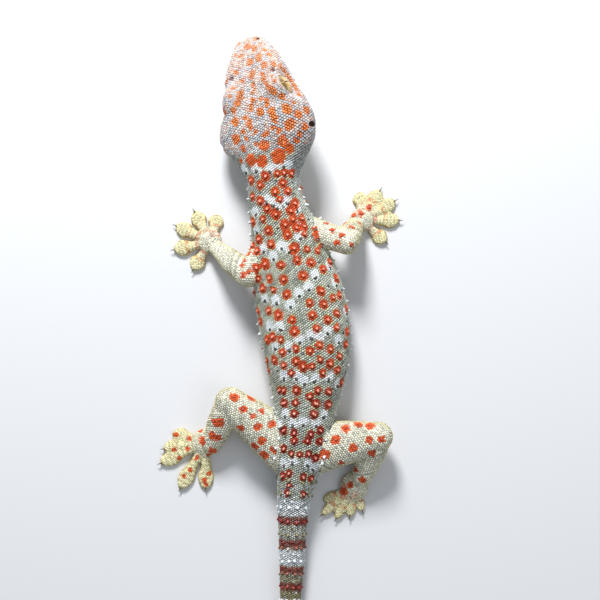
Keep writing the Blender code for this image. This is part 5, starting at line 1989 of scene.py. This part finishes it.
def paint_skin(skin, scales, colours):
    """The skin takes the colour of the nearest scale, darkened as painted shade in the grooves."""
    points = points_of(skin.data)
    tree = tree_of(scales["place"])
    nearest = np.array([tree.find(point)[1] for point in points])
    depth = groove_shading(scales)[nearest]
    tones = colours[nearest] * (1.0 - (1.0 - GROOVE_SHADE) * depth)[:, None]
    # painted shade in the ears and nostrils
    for place, axes, half in PITS:
        local = (points - np.array(place)) @ np.array(axes) / np.array(half)
        tones = mixed(tones, PIT_SHADE, clipped((1.6 - np.linalg.norm(local, axis=1)) / 0.5))
    paint_points(skin.data, tones)


def finished(name, points, faces, material, tones=None):
    """A closed piece of the object, with its material and the colours of its points if it has any."""
    thing = outward(mesh_object(name, points, faces))
    if tones is not None:
        paint_points(thing.data, tones)
    return dressed(thing, material)


def lid_ring(eye, material):
    """The lids' rim round an eye: thick and pale above, thin and orange below, its inner side towards the
    eye painted dark as shade.
    """
    axis = eye["axis"]
    middle = eye["centre"] + axis * LID_SEAT
    sides, around = 12, 120
    points, tones, faces = [], [], []
    for k in range(around):
        turn = 2 * math.pi * k / around
        spoke, reach, lift, thick = lid_section(eye, turn)
        thick = thick - LID_UNDER_SCALES
        above = clipped((0.5 + 0.5 * math.sin(turn)) * 1.6 - 0.3)
        for j in range(sides):
            tilt = 2 * math.pi * j / sides
            out, up = reach + thick * math.cos(tilt), lift + thick * math.sin(tilt)
            points.append(middle + spoke * out + axis * up)
            inner_shade = clipped(-math.cos(tilt) * 2.0 - 0.6)
            tone = (LID_LOW + (LID_WHITE - LID_LOW) * above) * 0.4
            tones.append(tone * (1 - inner_shade) + LID_INNER_SHADE * inner_shade)
            here, beside = k * sides + j, k * sides + (j + 1) % sides
            last = around * sides
            faces.append((here, beside, (beside + sides) % last, (here + sides) % last))
    name = "lid_left" if eye["side"] > 0 else "lid_right"
    return finished(name, points, faces, material, tones)


def eye_ball(eye, material):
    """The eyeball, with each point's direction kept so that the iris can be drawn on it."""
    axis, over, across = lid_axes(eye)
    turn = Matrix((across, over, axis)).transposed()
    name = "eye_left" if eye["side"] > 0 else "eye_right"
    points, faces = ball(eye["centre"], (EYE_RADIUS,) * 3, turn, 96, 64)
    thing = finished(name + "_ball", points, faces, material)
    local = np.array([turn.transposed() @ (v.co - eye["centre"]) for v in thing.data.vertices]) / EYE_RADIUS
    thing.data.attributes.new("gaze", "FLOAT_VECTOR", "POINT").data.foreach_set("vector", local.reshape(-1))
    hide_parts(name)
    return thing


class Nodes:
    """Shorthand for building a material out of nodes."""

    def __init__(self, name):
        self.material = bpy.data.materials.new(name)
        self.material.use_nodes = True
        self.tree = self.material.node_tree
        self.surface = self.tree.nodes["Principled BSDF"]

    def node(self, kind, **settings):
        made = self.tree.nodes.new("ShaderNode" + kind)
        for name, value in settings.items():
            setattr(made, name, value)
        return made

    def put(self, target, value):
        if isinstance(value, bpy.types.NodeSocket):
            self.tree.links.new(value, target)
        elif isinstance(value, (int, float)):
            target.default_value = value
        else:
            target.default_value = (*value, 1.0) if len(target.default_value) == 4 else tuple(value)

    def fill(self, node, values):
        for key, value in values.items():
            self.put(node.inputs[key], value)
        return node

    def maths(self, operation, first, second=0.0):
        return self.fill(self.node("Math", operation=operation), {0: first, 1: second}).outputs[0]

    def times(self, first, second):
        return self.maths("MULTIPLY", first, second)

    def size(self, value):
        return self.maths("ABSOLUTE", value)

    def ramp(self, value, span, reach=(0.0, 1.0), kind="SMOOTHSTEP"):
        """From one end of the reach to the other while the value goes through its span."""
        names = ("Value", "From Min", "From Max", "To Min", "To Max")
        made = self.node("MapRange", interpolation_type=kind)
        return self.fill(made, dict(zip(names, (value, *span, *reach)))).outputs["Result"]

    def step(self, value, start, end):
        return self.ramp(value, (start, end))

    def mix(self, share, first, second):
        return self.fill(self.node("Mix", data_type="RGBA"), {0: share, 6: first, 7: second}).outputs[2]

    def vector(self, operation, first, second):
        """Two vectors multiplied, or one scaled by a number."""
        by = "Scale" if operation == "SCALE" else 1
        made = self.node("VectorMath", operation=operation)
        return self.fill(made, {0: first, by: second}).outputs["Vector"]

    def noise(self, vector, scale, detail=2.0):
        made = self.node("TexNoise")
        return self.fill(made, {"Vector": vector, "Scale": scale, "Detail": detail}).outputs["Fac"]

    def finish(self, colour, roughness, clear=0.0, clear_roughness=0.03):
        names = ("Base Color", "Roughness", "Coat Weight", "Coat Roughness")
        self.fill(self.surface, dict(zip(names, (colour, roughness, clear, clear_roughness))))


def slit_distance(build, across, high):
    """How far each place lies outside the upright slit with its scalloped edge."""
    lobes = build.size(build.maths("SINE", build.times(high, 11.0)))
    taper = build.times(build.step(high, 0.46, 0.14), build.step(high, -0.74, -0.30))
    width = build.times(build.maths("ADD", build.times(lobes, 0.030), 0.040), taper)
    return build.maths("SUBTRACT", build.size(across), width)


def eye_material():
    """A golden iris with dark veins, a dark rim, painted shadow of the upper lid over its upper part and a
    scalloped upright slit, under a clear wet layer.
    """
    build = Nodes("eye")
    gaze = build.node("Attribute", attribute_name="gaze").outputs["Vector"]
    across, high, forward = build.fill(build.node("SeparateXYZ"), {0: gaze}).outputs
    slit = slit_distance(build, across, high)
    vein = build.noise(build.vector("MULTIPLY", gaze, (1.0, 0.45, 1.0)), 15.0, 5.0)
    veins = build.step(build.size(build.maths("SUBTRACT", vein, 0.5)), 0.075, 0.010)
    iris = build.mix(build.step(build.noise(gaze, 5.0), 0.35, 0.65), IRIS_GOLD, IRIS_PALE)
    iris = build.mix(build.times(veins, 0.55), iris, IRIS_VEIN)
    iris = build.mix(build.step(forward, 0.62, 0.50), iris, IRIS_RIM_AND_SHADOW)
    # painted shadow of the upper lid: the upper part of the iris darkened
    iris = build.mix(build.times(build.step(high, 0.10, 0.36), 0.75), iris, IRIS_RIM_AND_SHADOW)
    edge = build.step(build.maths("SUBTRACT", slit, 0.035), 0.020, 0.0)
    iris = build.mix(build.times(edge, 0.5), iris, IRIS_PALE)
    build.finish(build.mix(build.step(slit, 0.018, -0.004), iris, SLIT_BLACK), 0.22, 1.0, 0.02)
    return build.material


def smooth_path(path, count):
    """Places at even steps along a bent line."""
    run = np.concatenate([[0.0], np.cumsum(np.linalg.norm(np.diff(path, axis=0), axis=1))])
    return graded(np.linspace(0.0, run[-1], count), run, path)


def lip_plates(name, raised, tall, count, material, scales, colours):
    """One row of plates along a lip, above the mouth line or below it."""
    steps_long, steps_high = 8, 6
    line = smooth_path(MOUTH_LINE, count * steps_long + 1)
    ups = rows_of(Vector(body_frame(b)[2]) for b in np.interp(line[:, 1], MID_Y, ALONG))
    near = tree_of(scales["place"])
    points, faces, tones = [], [], []
    random = chance(2)
    for plate in range(count):
        reach = math.copysign(tall * (1.0 - 0.35 * abs((plate + 0.5) / count - 0.5) * 2), raised)
        shade = 0.92 + 0.16 * random.random()
        first = len(points)
        for i in range(steps_long + 1):
            along = plate * steps_long + i
            for j in range(steps_high + 1):
                rise = raised + reach * j / steps_high
                here, normal, _, _ = SKIN_TREE.find_nearest(Vector(line[along] + ups[along] * rise))
                tone = (0.6 * colours[near.find(here)[1]] + 0.4 * LIP_TONE) * shade
                u, v = abs(2 * i / steps_long - 1), abs(2 * j / steps_high - 1)
                points.append(here + normal * (LIP_BULGE * (1 - u**5) * (1 - v**4) - LIP_SINK))
                # each plate's edges darkened as painted shade between the plates
                tones.append(tone * (0.45 if max(u, v) > 0.95 else 1.0))
                if i < steps_long and j < steps_high:
                    a = first + i * (steps_high + 1) + j
                    faces.append((a, a + 1, a + steps_high + 2, a + steps_high + 1))
    thing = mesh_object(name, points, faces)
    paint_points(thing.data, tones)
    face_outwards(thing)
    return dressed(thing, material)


def face_outwards(thing):
    """Turns each open face away from the skin that it lies on."""
    made = bmesh.new()
    made.from_mesh(thing.data)
    for face in made.faces:
        _, normal, _, _ = SKIN_TREE.find_nearest(face.calc_center_median())
        if face.normal.dot(normal) < 0:
            face.normal_flip()
    made.to_mesh(thing.data)
    made.free()


def toe_plates(material):
    """Thin plates under the widened part of every toe."""
    points, faces, tones = [], [], []
    turns = np.linspace(-1.0, 1.0, 15)
    for palm, heading, length in (toe for limb in LIMBS for toe in toes_of(limb)):
        way = heading_way(heading)
        side = np.cross(way, UP)
        for share in np.linspace(0.46, 0.95, 12):
            width = float(column_at(share, TOE, 1)) * 1.03 * toe_width(palm)
            middle = palm * (1, 1, 0) + way * share * length
            first, count = len(points), len(turns)
            for low, back in TOE_PLATE_EDGES:
                bows = PLATE_BOW * (1 - turns * turns) - back
                points += [middle + side * (width * t) + way * b + UP * low for t, b in zip(turns, bows)]
            for ring in range(4):
                here, next_ring = first + ring * count, first + (ring + 1) % 4 * count
                for k in range(count - 1):
                    faces.append((here + k, here + k + 1, next_ring + k + 1, next_ring + k))
            faces += [tuple(first + ring * count + end for ring in range(4)) for end in (0, count - 1)]
    return finished("toe_plates", points, faces, material, np.tile(TOE_PLATE, (len(points), 1)))


def claws(material):
    """Small hooked claws on all but the first toe of each foot."""
    points, faces = [], []
    up = Vector(UP)
    for root, heading, length in (toe for limb in LIMBS for toe in toes_of(limb)[1:]):
        way = Vector(heading_way(heading))
        start = Vector((root[0], root[1], 0.0)) + way * (length - CLAW_ROOT)
        start = start + up * (TOE_PAD_HEIGHT + CLAW_LIFT)
        rings = []
        for share in np.linspace(0.0, 0.96, 9):
            radius = CLAW_RADIUS * (1 - share) ** 0.7
            rise = CLAW_RISE * math.sin(math.pi * share * 0.8) - CLAW_BEND * share**2
            middle = start + way * ((CLAW_LENGTH + CLAW_ROOT) * share) + up * rise
            rings.append(ring_at(middle, way.cross(up) * 0.75, up, radius, 10))
        tip = start + way * (CLAW_LENGTH + CLAW_ROOT) - up * CLAW_TIP_DROP
        more, ring_faces = shell(np.array(rings), None, tuple(tip))
        faces += [tuple(index + len(points) for index in face) for face in ring_faces]
        points += [tuple(p) for p in more]
    return finished("claws", points, faces, material, np.tile(CLAW_DARK, (len(points), 1)))


def main():
    scales = make_scales(SKIN_POINTS, SKIN_NORMALS)
    orange, white, raised, whites, limb_marks = make_marks()
    tubercles = make_tubercles(raised, whites, limb_marks)
    all_colours = paint_scales(scales, orange, white)
    set_points(SKIN.data, above_floor(SKIN_POINTS - SKIN_NORMALS * SKIN_INSET, SKIN_LEAST))
    cut_openings(SKIN)
    paint_skin(SKIN, scales, all_colours)
    coat = paint_material("scale_coat", 0.58, 0.34)
    wet = paint_material("tubercle_coat", 0.44, 0.45, 0.12)
    dressed(SKIN, paint_material("skin_ground", 0.75, 0.20))
    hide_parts(*SKIN_NODES)
    scales["number"] = np.arange(len(scales["place"]))
    bare = clear_of_tubercles(scales, tubercles)
    colours = all_colours[bare["number"]]
    charts = chart_place(bare)
    make_scale_pieces(bare, colours, charts, coat)
    cap_pieces("tubercles", tubercle_caps(tubercles, bare, charts), wet)
    iris = eye_material()
    for eye in EYES:
        lid_ring(eye, wet)
        eye_ball(eye, iris)
    for lip in LIPS:
        lip_plates(*lip, wet, bare, colours)
    toe_plates(coat)
    claws(wet)
    set_stage()


def set_stage():
    """Pale floor, soft light from ahead of the snout, and the camera straight above."""
    corners = [(-1.0, -1.0, 0.0), (1.0, -1.0, 0.0), (1.0, 1.0, 0.0), (-1.0, 1.0, 0.0)]
    floor = mesh_object("floor", corners, [(0, 1, 2, 3)])
    build = Nodes("floor")
    build.put(build.surface.inputs["Base Color"], FLOOR_PALE)
    build.put(build.surface.inputs["Roughness"], 0.85)
    floor.data.materials.append(build.material)
    world = bpy.data.worlds.new("studio")
    world.use_nodes = True
    world.node_tree.nodes["Background"].inputs["Color"].default_value = (0.86, 0.93, 1.0, 1.0)
    world.node_tree.nodes["Background"].inputs["Strength"].default_value = 0.36
    bpy.context.scene.world = world
    add_light("key", (0.10, -0.66, 0.42), 0.18, 8.4)
    add_light("fill", (-0.50, 0.20, 0.75), 0.60, 1.2)
    lens = bpy.data.cameras.new("camera")
    lens.sensor_width = SENSOR_WIDTH
    lens.lens = SENSOR_WIDTH * CAMERA_REACH / (PHOTO_SIDE / PIXELS_PER_METRE)
    lens.clip_start = NEAREST_SEEN
    camera = bpy.data.objects.new("camera", lens)
    camera.location = camera_place()
    camera.rotation_euler = (0.0, 0.0, math.pi)
    bpy.context.scene.collection.objects.link(camera)
    bpy.context.scene.camera = camera
    bpy.context.scene.view_settings.view_transform = "Standard"


def add_light(name, place, size, power):
    """A soft square light aimed at the animal."""
    data = bpy.data.lights.new(name, "AREA")
    data.size = size
    data.energy = power
    light = bpy.data.objects.new(name, data)
    light.location = place
    aim = Vector(LIT_PLACE) - Vector(place)
    light.rotation_euler = aim.to_track_quat("-Z", "Y").to_euler()
    bpy.context.scene.collection.objects.link(light)


ALONG, TURN, MID_X, MID_Y = midline_table()
MOUTH_LINE = rows_of(mouth_path(0.0, 0.0, 60))
EYES = [{"side": side, "centre": eye_centre(side), "axis": eye_axis(side)} for side in (1, -1)]
PITS = make_pits()
TAIL_WHITES = tail_bands(TAIL_WHITE_ROWS)
TAIL_REDS = tail_bands(TAIL_RED_ROWS)
SKIN = make_skin()
SKIN_POINTS = points_of(SKIN.data)
SKIN_TREE = BVHTree.FromPolygons(SKIN_POINTS.tolist(), SKIN_FACES)
SKIN_NORMALS = fetched(SKIN.data.vertex_normals, "vector", 3)

main()
